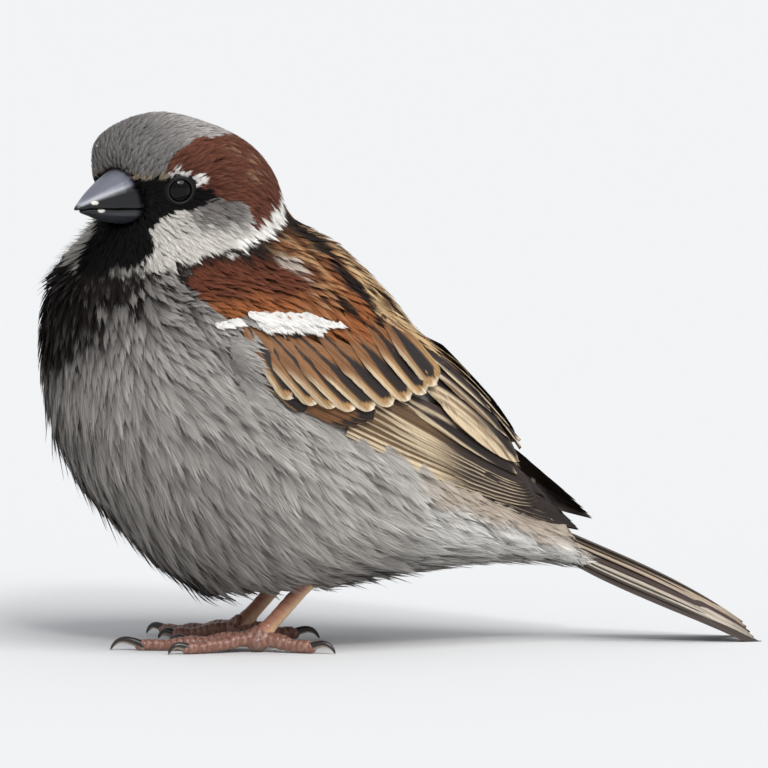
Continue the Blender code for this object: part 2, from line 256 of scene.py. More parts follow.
def head_place(points):
    """Ahead, sideways and up, for points of the bird; up stays its height over the floor."""
    r = points - NECK_AXIS
    return r @ HEAD_AHEAD, r @ HEAD_SIDE, points[..., 2]


def bearing_of(ahead, sideways):
    """Degrees from dead ahead, counted the same on both sides."""
    return np.degrees(np.arctan2(np.abs(sideways), ahead))


def from_head(ahead, sideways, up):
    """A point of the bird, from its place in the head's frame."""
    flat = NECK_AXIS + HEAD_AHEAD * np.asarray(ahead)[..., None]
    flat = flat + HEAD_SIDE * np.asarray(sideways)[..., None]
    flat[..., 2] = up
    return flat


BILL_BASE = from_head(16.0, 0.0, 74.0)
turned = math.degrees(math.atan2(HEAD_AHEAD[0], -HEAD_AHEAD[1]))
print("the head is turned", round(turned), "degrees")

# %% [markdown]
# ## The form and the skin
# The form is the bird's outer surface, out to the feather tips: the flesh solids, slightly fattened
# so that the thin cuts between them close, remeshed as one and smoothed. The skin is the same
# surface sunk by the depth of the coat. Feathers are laid out on the form and rooted near the skin.

# %% One smooth form
FLESH = ["head", "neck", "trunk", "thigh_left", "thigh_right"]
WINGS = ["wing_left", "wing_right"]
CLOSE = 0.35  # fattening that closes the cuts
FORM_VOXEL = 0.75


def remeshed(parts, voxel, smooth):
    """Joins closed parts, remeshes them into one and smooths it; returns points and triangles."""
    offset, points, faces = 0, [], []
    for p, f in parts:
        points.append(p)
        faces.append(f + offset)
        offset += len(p)
    thing = place("work", new_mesh("work", np.concatenate(points), np.concatenate(faces)))
    remesh = thing.modifiers.new("remesh", "REMESH")
    remesh.mode = "VOXEL"
    remesh.voxel_size = voxel * MM
    soften = thing.modifiers.new("soften", "SMOOTH")
    soften.factor = 0.5
    soften.iterations = smooth
    bpy.context.view_layer.update()
    result = mesh_arrays(thing.evaluated_get(bpy.context.evaluated_depsgraph_get()).data)
    bpy.data.objects.remove(thing)
    return result


def fattened(name, amount):
    """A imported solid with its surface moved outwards."""
    points, faces = mesh_arrays(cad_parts[name].data)
    return points + amount * normals_of(points, faces), faces


def ball(middle, radii, segments=24):
    """A closed ball, or an egg if three radii are given."""
    work = bmesh.new()
    bmesh.ops.create_uvsphere(work, u_segments=segments, v_segments=segments // 2, radius=1)
    bmesh.ops.triangulate(work, faces=work.faces)
    points = np.array([v.co for v in work.verts])
    faces = np.array([[v.index for v in f.verts] for f in work.faces])
    work.free()
    return points * radii + middle, faces


parts = [fattened(name, CLOSE) for name in FLESH + WINGS]
HEAD_FILL = [ball(EYES[side], 2.2) for side in SIDES] + [ball(from_head(15.6, 0, 74.3), 4.4)]
parts += HEAD_FILL
FORM, FORM_FACES = remeshed(parts, FORM_VOXEL, 8)
FORM_NORMALS = normals_of(FORM, FORM_FACES)
FORM = FORM - CLOSE * FORM_NORMALS
print("form:", len(FORM_FACES), "triangles")


# %% Landing points on the form
class Surface:
    """Answers where a point lands on a mesh, and which way the mesh faces there, smoothly."""

    def __init__(self, points, faces, normals):
        self.normals = normals
        self.tree = BVHTree.FromPolygons(points.tolist(), faces.tolist())
        self.near = KDTree(len(points))
        for i, p in enumerate(points):
            self.near.insert(p, i)
        self.near.balance()

    def land(self, points):
        flat = points.reshape(-1, 3)
        out = np.array([self.tree.find_nearest(p)[0] for p in flat])
        return out.reshape(points.shape)

    def facing(self, points, count=6):
        flat = points.reshape(-1, 3)
        found = np.empty((len(flat), 3))
        for i, p in enumerate(flat):
            picked = [hit[1] for hit in self.near.find_n(p, count)]
            found[i] = self.normals[picked].sum(axis=0)
        return unit(found).reshape(points.shape)

    def shoot(self, points, direction):
        """How far rays from the points run before they meet the mesh; a miss gives nan."""
        direction = Vector(direction)
        runs = [self.tree.ray_cast(p, direction)[3] for p in points.reshape(-1, 3)]
        return np.array([np.nan if run is None else run for run in runs]).reshape(points.shape[:-1])


form = Surface(FORM, FORM_FACES, FORM_NORMALS)

# %% [markdown]
# ## The lie of the coat
# Feathers point away from the bill over the head, and down and back over the body. A few named
# places say how steeply they fall as seen from the side; between them the slope is blended.

# %% Which way feathers lie
LIE = np.array([
    # y, z, degrees below level, seen from the side
    (-50, 56, 78), (-56, 42, 82), (-49, 26, 70), (-36, 58, 24), (-31, 46, 40), (-25, 31, 52),
    (-30, 12, 44), (-10, 26, 40), (-6, 13, 20), (10, 18, 24), (25, 15, 22), (33, 13, 27),
    (-8, 62, 45), (5, 46, 50), (18, 27, 42), (-27, 53, 48), (-17, 52, 52),
], float)


def lie_of(points, facing):
    """The direction that feathers point in, along the surface."""
    away = points - from_head(17.0, 0.0, 73.5)
    far = np.linalg.norm(away, axis=-1, keepdims=True)
    head = unit(away) + ramp(8, 24, far) * np.array((0, 0, -0.4))
    gap = (points[:, None, 1] - LIE[:, 0]) ** 2 + (points[:, None, 2] - LIE[:, 1]) ** 2
    weight = 1 / (gap + 9.0) ** 2
    slope = np.radians((weight * LIE[:, 2]).sum(axis=1) / weight.sum(axis=1))
    body = np.stack([np.zeros_like(slope), np.cos(slope), -np.sin(slope)], axis=-1)
    on_head = ramp(57, 70, points[:, 2:3])
    way = head * on_head + body * (1 - on_head)
    way = way - (way * facing).sum(axis=-1, keepdims=True) * facing
    return unit(way)


# %% [markdown]
# ## Two charts for the folded wings
# Each wing is read from the side: distance from its bend towards its tip, and distance below that
# line. Bend and tip are measured on the solids, so the far wing, which crosses behind, fits too.

# %% Wing charts
class Chart:
    """Flat millimetres laid over a curved surface: a point is dropped onto it along one way."""

    def __init__(self, origin, along, across, drop, surface, stretch=1.0):
        self.origin, self.along, self.across = (np.array(v, float) for v in (origin, along, across))
        self.drop = np.array(drop, float)
        self.surface = surface
        self.stretch = stretch
        self.upper_edge = None
        self.slot = 0.0

    def flat(self, points):
        r = (points - self.origin) / self.stretch
        return r @ self.along, r @ self.across

    def over(self, a, b):
        """Chart places as points of the plane through the chart's origin."""
        flat = self.along * np.asarray(a)[..., None] + self.across * np.asarray(b)[..., None]
        return self.origin + self.stretch * flat

    def depth(self, flat):
        """How far points of the plane are above the surface; a slot down its middle is stepped over."""
        aim = flat.copy()
        aim[..., 0] = np.where(flat[..., 0] < 0, -1, 1) * np.maximum(np.abs(flat[..., 0]), self.slot)
        return self.surface.shoot(aim - 60 * self.drop, self.drop) - 60


parts = [fattened(name, CLOSE) for name in FLESH + WINGS + ["wing_tip_left", "wing_tip_right"]]
WING_FORM, faces = remeshed(parts, FORM_VOXEL, 6)
normals = normals_of(WING_FORM, faces)
WING_FORM = WING_FORM - CLOSE * normals
wing_form = Surface(WING_FORM, faces, normals)
print("form with the wing tips:", len(faces), "triangles")

WING_REACH = 77.4  # bend to tip in chart millimetres
WING_TOP = [(30, -13.6), (38, -13.0), (42.9, -12.6), (46.5, -11.6), (54.3, -9.0), (65.2, -3.9),
            (72, -1.7), (78, -0.3)]  # no feather rises above this line


def wing_chart(side):
    """The chart of one wing, stretched so that both wings are read as equally long."""
    whole = node_points("wing_" + side, "wing_tip_" + side)
    bend = whole[np.argmin(whole[:, 1])]
    tip = whole[np.argmax(whole[:, 1])]
    reach = (tip - bend) * (0, 1, 1)
    along = unit(reach)
    across = (0.0, along[2], -along[1])
    origin = (0.0, bend[1], bend[2])
    stretch = np.linalg.norm(reach) / WING_REACH
    print(side, "wing: bend", bend.round(1), "tip", tip.round(1), "stretch", round(stretch, 3))
    chart = Chart(origin, along, across, (-SIDES[side], 0, 0), wing_form, stretch)
    chart.upper_edge = WING_TOP
    return chart


CHARTS = {side: wing_chart(side) for side in SIDES}
WING_ONLY = {}
for side in SIDES:
    points, faces = mesh_arrays(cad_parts["wing_" + side].data)
    WING_ONLY[side] = BVHTree.FromPolygons(points.tolist(), faces.tolist())


def chart_place(points):
    """Wing millimetres of any point, each read on its own side."""
    left = CHARTS["left"].flat(points)
    right = CHARTS["right"].flat(points)
    on_left = points[..., 0] >= 0
    return np.where(on_left, left[0], right[0]), np.where(on_left, left[1], right[1])


# %% [markdown]
# ## Markings
# Skin and coat ask the same function for their colour, so that nothing bare shows between feathers.
# Over the head a boundary is a height that changes with the bearing from dead ahead; over the back
# it is a line in the wing's chart. Head and body give two colours, base for the buried part of a
# feather and tip for its fringe; the back gives one, and both are made from it.

# %% Plumage colours
ASH = light(122, 118, 114)
PALE_ASH = light(165, 160, 155)
DEEP_ASH = light(116, 112, 109)
CREAM = light(205, 200, 192)
WHITE = light(228, 225, 220)
CROWN = light(84, 81, 79)
PALE_CROWN = light(120, 117, 115)
NAPE_GREY = light(168, 162, 158)
BROW = light(128, 112, 92)
CHESTNUT = light(62, 32, 25)
PALE_CHESTNUT = light(104, 64, 50)
FLECK = light(146, 112, 90)
BIB = light(12, 10, 10)
PALE_BIB = light(24, 22, 22)
BREAST_BLACK = light(25, 20, 18)
CHEEK = light(84, 79, 77)
PALE_CHEEK = light(120, 115, 111)
LESSER = light(92, 52, 37)
RUFOUS = light(140, 84, 50)
BUFF = light(190, 160, 120)
MANTLE = light(146, 108, 74)
BLACK_BROWN = light(34, 26, 23)
RUMP = light(130, 117, 102)
UNDERWING = light(160, 143, 124)
DULL_WHITE = light(176, 165, 154)
VENT_GREY = light(150, 146, 140)


# %% Head markings
# bearing from dead ahead in degrees, height; BIB_EDGE has a height and its bearing, and BREAST_BIB
# a height and the bib's half width there
CROWN_EDGE = [(0, 77.5), (9, 77.6), (15, 77.3), (23, 77.7), (25.5, 79.2), (30, 81.3), (39, 83.3),
              (80, 83.4), (110, 81.5), (140, 77), (165, 70), (180, 64)]
CHESTNUT_EDGE = [(24, 78.2), (30, 77.6), (38, 76.6), (49, 73.8), (61, 72.9), (72, 72.2), (75, 68.2),
                 (86, 69.2), (107, 71.8), (120, 73.0), (140, 71), (160, 69), (180, 67)]
LORE_EDGE = [(0, 72), (17, 70.0), (21, 70.6), (24, 71.0), (33, 71.2), (38, 71.5), (44, 72.6),
             (51, 73.6), (54, 74.4), (60, 80)]
LORE_TOP = [(0, 77.4), (15, 76.8), (24, 77.1), (33, 77.0), (38, 76.6), (50, 74.6), (53, 73)]
WHITE_EDGE = [(12, 60.8), (25, 61.8), (44, 64.0), (61, 64.8), (75, 65.8), (93, 67.2), (120, 71.0),
              (150, 70.5), (180, 70)]
BIB_EDGE = [(56, 10), (59, 13), (62.4, 16.5), (65, 19.5), (68, 18.5), (69.7, 20.5), (71, 26), (73, 30)]
BREAST_BIB = [(42.5, 0), (46.5, 6), (49.4, 10.0), (54.3, 12.6), (57, 14.2), (61, 15.0), (63, 15.0)]
BREAST_BIB_MIDDLE = 4.5  # the bib follows the turned head a little to the left


def edge(line, at):
    """Reads a boundary, given as pairs, at bearings or heights."""
    line = np.array(line, float)
    return np.interp(at, line[:, 0], line[:, 1])


def eye_gap(points):
    """Distance to the nearer eye's outward axis, and far away behind the head's middle."""
    gaps = []
    for side, out in EYE_OUT.items():
        r = points - EYES[side]
        ahead = r @ out
        off = np.linalg.norm(r - ahead[..., None] * out, axis=-1)
        gaps.append(np.where(ahead > -1, off, 99))
    return np.minimum(*gaps)


def head_marks(points, rough):
    """Base and fringe colours; rough is a small random shift that breaks up the boundaries."""
    ahead, sideways, z = head_place(points)
    bearing = bearing_of(ahead, sideways) + 1.2 * rough[:, 0]
    z = z + 0.25 * rough[:, 1]
    base = np.tile(CHEEK, (len(points), 1))
    tip = np.tile(PALE_CHEEK, (len(points), 1))

    def lay(mask, under, over):
        base[:] = mix(base, under, mask)
        tip[:] = mix(tip, over, mask)

    grey = ramp(31, 45, bearing + 2.5 * rough[:, 2]) * ramp(66.8, 70.2, z + 0.45 * rough[:, 2])
    lay(1 - grey, CREAM * 0.76, CREAM * 0.84)
    collar = np.maximum(ramp(68, 82, bearing), ramp(58, 66, bearing) * ramp(67.4, 66.4, z))
    lay(collar * (z < edge(CHESTNUT_EDGE, bearing) + 0.4), WHITE * 0.92, WHITE)
    chestnut = (z > edge(CHESTNUT_EDGE, bearing)) & (bearing > 22)
    lay(chestnut * 1.0, CHESTNUT, PALE_CHESTNUT)
    flecked = ramp(50, 66, bearing) * ramp(115, 90, bearing) * ramp(74.5, 77, z)
    lay(chestnut * flecked * ramp(0.5, 1.6, rough[:, 2]), CHESTNUT, FLECK)
    crown = z > edge(CROWN_EDGE, bearing)
    back = ramp(17, 7, ahead + 0.8 * rough[:, 2])
    lay(crown * 1.0, mix(CROWN, NAPE_GREY * 0.7, back), mix(PALE_CROWN, NAPE_GREY, back))
    near_bill = ramp(8.0, 5.5, np.linalg.norm(points - BILL_BASE, axis=1))
    lay(crown * near_bill * ramp(30, 12, bearing), BROW * 0.5, BROW)
    brow = (bearing < 26) & (z < edge(CROWN_EDGE, bearing) + 0.15) & (z > 76)
    lay(brow * 0.9, BROW * 0.5, BROW)
    around_eye = ramp(3.3, 2.9, eye_gap(points))
    lay(around_eye, BIB, PALE_BIB)
    streak = (np.abs(z - 77.6 - 0.25 * (bearing - 26)) < 0.3) & (bearing > 27.5) & (bearing < 31.5)
    streak |= ((bearing - 32) / 2.2) ** 2 + ((z - 77.8) / 0.6) ** 2 < 1
    lay(streak * 0.85, WHITE * 0.7, WHITE)
    lore = (z > edge(LORE_EDGE, bearing)) & (bearing < 53) & (z < edge(LORE_TOP, bearing))
    lay(lore * 1.0, BIB, PALE_BIB)
    spot = ((bearing - 42) / 3.8) ** 2 + ((z - 76.3) / 0.9) ** 2 < 1
    lay(spot * 1.0, WHITE * 0.9, WHITE)
    bib = (bearing < edge(BIB_EDGE, z)) & (z < 73)
    lay(bib * 1.0, BIB, PALE_BIB)
    collar_line = ramp(0.8, 0.4, np.abs(z - 61.7)) * ramp(1, 8, bearing)
    collar_line = collar_line * ramp(24, 18, bearing) * (sideways > 0)
    lay(0.8 * collar_line, CREAM * 0.3, CREAM * 0.6)
    return base, tip


# %% Back and shoulder markings, in wing millimetres
BLACK_STRIPE = [(6, -18.9), (10.8, -18.1), (16.5, -17.7), (21.1, -16.0), (26.7, -13.9), (30.3, -11.0)]
SHOULDER_TOP = [(-6, 0.6), (-1.8, -1.1), (-0.9, -5.4), (2.1, -8.6), (6.9, -11), (10.7, -12),
                (16, -12.6), (24, -12.4)]
BAR_TOP = [(0, 3.5), (5.8, 1.0), (9.0, -2.4), (16.6, -6.6), (25.4, -9.2), (32, -11)]
FLANK_EDGE = [(-6, -2.8), (-2, -1.8), (1, -1.0), (4, -0.3), (6.8, 0.4), (9.0, 1.1), (10.5, 3.6),
              (12.5, 5.3), (14.8, 6.4), (19.2, 7.6), (24.4, 7.2), (29.9, 6.7), (35.5, 6.3),
              (43.5, 6.2), (53.3, 5.6), (62.4, 3.5), (69.8, 1.8), (78, 0.5)]
DARK_SPOTS = [(15.3, -9.2), (18.6, -10.9), (23.4, -11.1), (27.5, -10.3)]
PALE_SPOT = (13.0, -12.6)


def back_marks(points, rough):
    """Colours of mantle, shoulder and lesser coverts at each point."""
    a, b = chart_place(points)
    a = a + 0.8 * rough[:, 0]
    b = b + 0.35 * rough[:, 1]
    above = b - edge(BLACK_STRIPE, a)
    colour = mix(RUFOUS, BUFF, ramp(-0.9, -1.4, above) * ramp(-4.2, -3.4, above))
    colour = mix(colour, BLACK_BROWN, ramp(-3.6, -4.2, above) * ramp(-5.6, -4.8, above))
    colour = mix(colour, MANTLE, ramp(-5.2, -6.0, above))
    lines = np.sin(2.0 * above + 1.2 * np.sin(0.5 * a) + 0.8)
    colour = mix(colour, BLACK_BROWN, ramp(0.35, 0.85, lines) * ramp(-6.2, -6.8, above))
    colour = mix(colour, BUFF, ramp(-0.45, -0.85, lines) * ramp(-6.2, -6.8, above))
    colour = mix(colour, BLACK_BROWN, ramp(-1.15, -0.8, above) * ramp(1.15, 0.8, above))
    middle = ramp(7.5, 5.5, np.abs(points[:, 0])) * ramp(-0.5, -2.5, above)
    bands = np.sin(1.75 * np.abs(points[:, 0]) + 0.5 * rough[:, 2] + 0.9)
    streaked = mix(MANTLE * 0.85, BUFF, 0.8 * ramp(0.1, 0.7, bands))
    streaked = mix(streaked, BLACK_BROWN, ramp(-0.2, -0.7, bands))
    colour = mix(colour, streaked, middle)
    for spot_a, spot_b in DARK_SPOTS:
        reach = ((a - spot_a) / 2.0) ** 2 + ((b - spot_b - 0.35 * (a - spot_a)) / 0.75) ** 2
        colour = mix(colour, BLACK_BROWN, ramp(1.3, 0.6, reach))
    blade = ramp(0.5, 1.3, above) * ramp(26, 16, a)
    mottle = np.sin(2.7 * above + 0.9 * np.sin(0.7 * a) + 0.5 * rough[:, 2])
    streaked = mix(mix(MANTLE, RUFOUS, 0.5), BUFF * 0.8, ramp(0.3, 0.8, mottle))
    streaked = mix(streaked, BLACK_BROWN * 1.4, ramp(-0.25, -0.7, mottle))
    colour = mix(colour, streaked, 0.75 * blade)
    coverts = ramp(-0.6, 0.4, b - edge(SHOULDER_TOP, a)) * ramp(21, 15, a)
    deep = mix(LESSER, RUFOUS, ramp(-4.2, -0.8, b - edge(BAR_TOP, a)))
    colour = mix(colour, deep, coverts)
    # A dark band along the shoulder's top near the bend: the lesser coverts' dark bases, with painted
    # shadow under the cheek.
    colour = mix(colour, BLACK_BROWN, ramp(2.3, 0.4, b - edge(SHOULDER_TOP, a)) * ramp(13, 7, a))
    reach = ((a - PALE_SPOT[0]) / 3.2) ** 2 + ((b - PALE_SPOT[1]) / 1.0) ** 2
    colour = mix(colour, DULL_WHITE, ramp(1.4, 0.5, reach) * 0.8)
    # Towards the rear the back turns dark brown: painted shade where it shows only in gaps under the
    # folded wings.
    return mix(colour, BLACK_BROWN * 1.5, ramp(8, 11, points[:, 1]))


# %% Body markings
def body_marks(points, rough):
    """Base and fringe colours of breast, belly, flanks, vent and rump."""
    x, y, z = points[:, 0], points[:, 1], points[:, 2]
    flank = ramp(12, 20, np.abs(x)) * ramp(-34, -8, y)
    tip = mix(PALE_ASH, CREAM, 0.45 * flank)
    base = mix(DEEP_ASH, ASH, 0.7 * flank)
    # The fringes of the lower front belly are dulled towards ash: painted shade under the body.
    low = ramp(26, 10, z) * ramp(-10, -30, y)
    tip = mix(tip, ASH, 0.55 * low)
    cloud = np.sin(0.55 * y + 0.35 * z + 1.3 * np.sin(0.31 * x)) * np.sin(0.45 * z - 0.27 * y + 0.7)
    tip = tip * (1 + 0.13 * cloud)[:, None]
    base = 0.92 * base * (1 + 0.16 * cloud)[:, None]
    vent = ramp(-6, 8, y) * ramp(34, 24, z)
    base = mix(base, VENT_GREY, vent)
    tip = mix(tip, WHITE * 0.9, vent)
    half = edge(BREAST_BIB, z) + 1.7 * rough[:, 0]
    off = np.abs(x - BREAST_BIB_MIDDLE)
    smoky = ramp(10, 1, off - half) * ramp(40, 47, z) * ramp(62, 59, z) * (y < -28)
    base = mix(base, BIB, 0.65 * smoky)
    tip = mix(tip, ASH * 0.8, 0.75 * smoky)
    bib = (off < half) & (y < -30) & (z > BREAST_BIB[0][0] + 1.5 * rough[:, 1])
    rimmed = rough[:, 2] + 0.9 * ramp(58, 46, z) + 0.9 * ramp(3.5, 0, half - off)
    base = mix(base, BREAST_BLACK, bib * 1.0)
    tip = mix(tip, mix(PALE_BIB, ASH * 0.9, ramp(-0.3, 1.2, rimmed)), bib * 1.0)
    rump = ramp(0, 5, y) * (z > 14 + 0.9 * (34 - y)) * (np.abs(x) < 14)
    base = mix(base, RUMP * 0.8, rump * 1.0)
    tip = mix(tip, RUMP * 1.1, rump * 1.0)
    return base, tip


def back_line(y):
    """Height of the lower back at each distance along the bird."""
    return 45 - 1.14 * (y - 4.7)


# %% Markings of the whole bird
def marks(points, rough):
    """Base and fringe colours anywhere on the bird."""
    head_base, head_tip = head_marks(points, rough)
    body_base, body_tip = body_marks(points, rough)
    ahead, sideways, up = head_place(points)
    is_head = up + 0.5 * rough[:, 1] > edge(WHITE_EDGE, bearing_of(ahead, sideways))
    is_head &= up > 60.5
    base = mix(body_base, head_base, is_head * 1.0)
    tip = mix(body_tip, head_tip, is_head * 1.0)
    a, b = chart_place(points)
    y, z = points[:, 1], points[:, 2]
    back = (~is_head) & (b < edge(BAR_TOP, a) + 1.5 + 3 * ramp(17, 21, a))
    back &= a > -1.5 + 0.4 * rough[:, 0]
    back &= (b > edge(SHOULDER_TOP, a) - 3) | (y > -22)
    back &= (y < 14) | ((y < 19) & (z > back_line(y)))
    back &= (z > 32) & (b < edge(FLANK_EDGE, a) + 0.3 * rough[:, 1])
    below = b - edge(FLANK_EDGE, a)
    band = ramp(3.8, 1.6, below + 0.5 * rough[:, 2]) * ramp(44, 56, a) * ramp(90, 82, a)
    band = band * (y > 0) * (~is_head)
    base = mix(base, UNDERWING * 0.8, 0.8 * band)
    tip = mix(tip, UNDERWING, 0.8 * band)
    colour = back_marks(points, rough)
    base = mix(base, colour * 0.75, back * 1.0)
    tip = mix(tip, colour * 1.12, back * 1.0)
    return base, tip


# %% [markdown]
# ## Plumes
# A body feather is a thin shaft with soft barbs on both sides. Each barb here is a ribbon that
# tapers to a point; a small oval card under them closes the feather. Feathers are rooted deep and
# their tips ride on top of the next ones, like roof tiles laid from the tail up. Every barb reads
# the markings half at its own place and half at its feather's, so that borders are soft but true.

# %% Rooting feathers
NEIGHBOURS = list(itertools.product((-1, 0, 1), repeat=3))


def scattered(points, faces, spacing, seed):
    """Places spread evenly over a mesh, no two closer than the spacing asked for there."""
    rng = np.random.default_rng(seed)
    areas = np.linalg.norm(face_normals(points, faces), axis=1) / 2
    middles = points[faces].mean(axis=1)
    gap = spacing(middles)
    wanted = np.where(gap > 0, areas / np.maximum(gap, 0.1) ** 2, 0)
    count = int(3.2 * wanted.sum())
    picked = rng.choice(len(faces), count, p=wanted / wanted.sum())
    corner = rng.random((count, 2))
    corner = np.where(corner.sum(axis=1, keepdims=True) > 1, 1 - corner, corner)
    a, b, c = (points[faces[picked, i]] for i in range(3))
    spots = a + (b - a) * corner[:, :1] + (c - a) * corner[:, 1:]
    gaps = gap[picked]
    cell = gaps.max()
    grid, kept = {}, []
    for i, (spot, near) in enumerate(zip(spots, gaps)):
        x, y, z = (spot // cell).astype(int)
        close = [j for dx, dy, dz in NEIGHBOURS for j in grid.get((x + dx, y + dy, z + dz), ())]
        if close and (((spots[close] - spot) ** 2).sum(axis=1) < near * near).any():
            continue
        grid.setdefault((x, y, z), []).append(i)
        kept.append(i)
    return spots[kept], rng


# %% Shafts over the form
STATIONS = 6  # points along every shaft


def shafts(roots, length, twist):
    """Marches each shaft over the form; returns stations, facings and side ways, a row per plume."""
    spot = form.land(roots)
    facing = form.facing(spot)
    way = lie_of(spot, facing)
    way = unit(way + np.cross(facing, way) * twist[:, None])
    places, facings = [spot], [facing]
    step = (length / (STATIONS - 1))[:, None]
    for _ in range(STATIONS - 1):
        spot = form.land(spot + way * step)
        facing = form.facing(spot)
        turn = lie_of(spot, facing)
        turn = unit(turn + np.cross(facing, turn) * twist[:, None])
        way = unit(0.6 * way + 0.4 * turn)
        way = unit(way - (way * facing).sum(axis=1, keepdims=True) * facing)
        places.append(spot)
        facings.append(facing)
    places, facings = np.stack(places, axis=1), np.stack(facings, axis=1)
    sides = unit(np.cross(facings, np.gradient(places, axis=1)))
    return places, facings, sides


def along(stations, t):
    """Reads stations at fractions t of the length, one row of fractions per plume."""
    spot = np.maximum(t, 0) * (STATIONS - 1)
    low = np.minimum(spot.astype(int), STATIONS - 2)
    f = (spot - low)[..., None]
    rows = np.arange(len(stations))[:, None]
    return stations[rows, low] * (1 - f) + stations[rows, low + 1] * f


# %% Barbs and card of a plume
BARB_FACES = np.array([(0, 1, 3), (0, 3, 2), (2, 3, 4)])  # a barb is four points and its tip
CARD_T = (0.04, 0.2, 0.4, 0.58, 0.74)
CARD_W = (-0.62, 0.0, 0.62)  # the card is narrower than the plume
CARD_SINK = 0.07
BODY_ROUND = 18.0  # radius that a plume is cupped to


def outline(t):
    """Half width of a plume along its length, 1 at its widest."""
    t = np.clip(t, 0, 1)
    return np.sin(np.pi * t ** 0.85) ** 0.75


def barb_outlines(rng, n, length, width, point, barbs, thick, lean):
    """Five points a barb: how far along and across the plume they are, and how far above it."""
    full = (n, 2 * barbs)
    hand = np.tile((1.0, -1.0), barbs)
    end = np.repeat(np.linspace(0.30, 1.0, barbs), 2) + rng.normal(0, 0.035, full)
    reach = hand * outline(np.minimum(end, 0.985)) * width[:, None] * rng.uniform(0.75, 1.1, full)
    reach = reach * (1 - point[:, None] * ramp(0.45, 1.0, end))
    start = end - lean * (1.15 - 0.4 * end)
    middle_t, middle_w = 0.4 * start + 0.6 * end, 0.66 * reach
    span_t, span_w = (end - start) * length[:, None], reach
    far = np.sqrt(span_t ** 2 + span_w ** 2) + 1e-6
    across_t, across_w = -span_w / far / length[:, None], span_t / far
    half = thick * rng.uniform(0.75, 1.2, full)
    t = np.stack([start - across_t * half * 0.6, start + across_t * half * 0.6,
                  middle_t - across_t * half, middle_t + across_t * half, end], axis=-1)
    w = np.stack([-across_w * half * 0.6, across_w * half * 0.6,
                  middle_w - across_w * half, middle_w + across_w * half, reach], axis=-1)
    tilt = 0.35 * half * rng.uniform(0.3, 1.2, full)
    ride = rng.uniform(-0.03, 0.05, full)
    zero = np.zeros(full)
    rise = np.stack([zero, zero, ride - tilt, ride + tilt, 1.5 * ride], axis=-1)
    return t.reshape(n, -1), w.reshape(n, -1), rise.reshape(n, -1)


def card_outline(width, point):
    """The same for the points of the card, three to a row."""
    t = np.repeat(CARD_T, len(CARD_W))
    w = np.tile(CARD_W, len(CARD_T))
    w = w * outline(t * 0.93 + 0.07) * width[:, None]
    w = w * (1 - point[:, None] * ramp(0.45, 1.0, t))
    return np.broadcast_to(t, w.shape), w


def plume_faces(barbs):
    """Triangles of one plume: its barbs first, then its card."""
    barb_faces = (BARB_FACES + 5 * np.arange(2 * barbs)[:, None, None]).reshape(-1, 3)
    rows = np.arange(len(CARD_T) - 1)[:, None] * 3 + np.arange(2) + 10 * barbs
    cells = np.stack([rows, rows + 1, rows + 4, rows, rows + 4, rows + 3], axis=-1).reshape(-1, 3)
    return np.concatenate([barb_faces, cells])


def turned_out(points, faces, shading):
    """Turns over the triangles that look inwards, judged on the first plumes."""
    corners = points[:200][:, faces]
    outward = np.cross(corners[:, :, 1] - corners[:, :, 0], corners[:, :, 2] - corners[:, :, 0])
    agree = (outward * shading[:200][:, faces[:, 0]]).sum(axis=-1).mean(axis=0)
    return np.where(agree[:, None] < 0, faces[:, ::-1], faces)


# %% One tract of plumes
OWN_PLACE = 0.5  # how far each barb reads the markings at its own place, not its feather's
CARD_SHADE = 0.88


def plumes(roots, rng, length, width, depth, lift, point, barbs, thick, paint, lean=0.5, turn=0.0):
    """Grows plumes: each is a card under two rows of tapering barbs; one row of results per plume."""
    n = len(roots)
    twist = rng.normal(0, 0.10, n) + turn
    places, facings, sides = shafts(roots, length, twist)
    t, w, rise = barb_outlines(rng, n, length, width, point, barbs, thick, lean)
    card_t, card_w = card_outline(width, point)
    tone = rng.normal(1, 0.05, (n, 1))
    barb_tone = np.repeat(tone + rng.normal(0, 0.10, (n, 2 * barbs)), 5, axis=1)
    t = np.concatenate([t, card_t], axis=1)
    w = np.concatenate([w, card_w], axis=1)
    rise = np.concatenate([rise, np.full(card_w.shape, -CARD_SINK)], axis=1)
    tone = np.concatenate([barb_tone, np.broadcast_to(tone * CARD_SHADE, card_w.shape)], axis=1)
    height = lift[:, None] * np.maximum(t, 0) ** 2.2
    height = height - depth[:, None] * (1 - np.clip(t, 0, 1)) ** 1.7
    height = height + rise - w * w / (2 * BODY_ROUND)
    points = along(places, t) + along(sides, t) * w[..., None]
    points = points + along(facings, t) * height[..., None]
    seen = along(places, np.full((n, 1), 0.75))[:, 0]
    rough = rng.normal(0, 1, (n, 3))
    read_at = OWN_PLACE * points + (1 - OWN_PLACE) * seen[:, None]
    base, tip = marks(read_at.reshape(-1, 3), np.repeat(rough, t.shape[1], axis=0))
    base, tip = base.reshape(points.shape), tip.reshape(points.shape)
    wide = np.abs(w) / width[:, None]
    colour = paint(base, tip, t, wide) * np.clip(tone, 0.55, 1.5)[..., None]
    patch = np.stack([0.5 * w / width[:, None], np.clip(t, 0, 1) - 0.5], axis=-1)
    lean_sign = np.sign(w) * np.clip(wide, 0, 1)
    barb_turn = np.repeat(rng.normal(0, 0.22, (n, 2 * barbs)), 5, axis=1)
    barb_turn = np.concatenate([barb_turn, np.zeros(card_w.shape)], axis=1)
    shading = unit(along(facings, t) + along(sides, t) * (0.25 * lean_sign + barb_turn)[..., None])
    faces = turned_out(points, plume_faces(barbs), shading)
    return points, faces, colour, unwrap(places[:, 0])[:, None] + PATCH * patch, shading


# %% [markdown]
# ## Where a feather sits on the unwrap
# Baking needs a flat map. The skin's shape is unrolled round the bird's own long axis, and every
# feather is a tiny patch at its root's place there, so that neighbours stay neighbours.

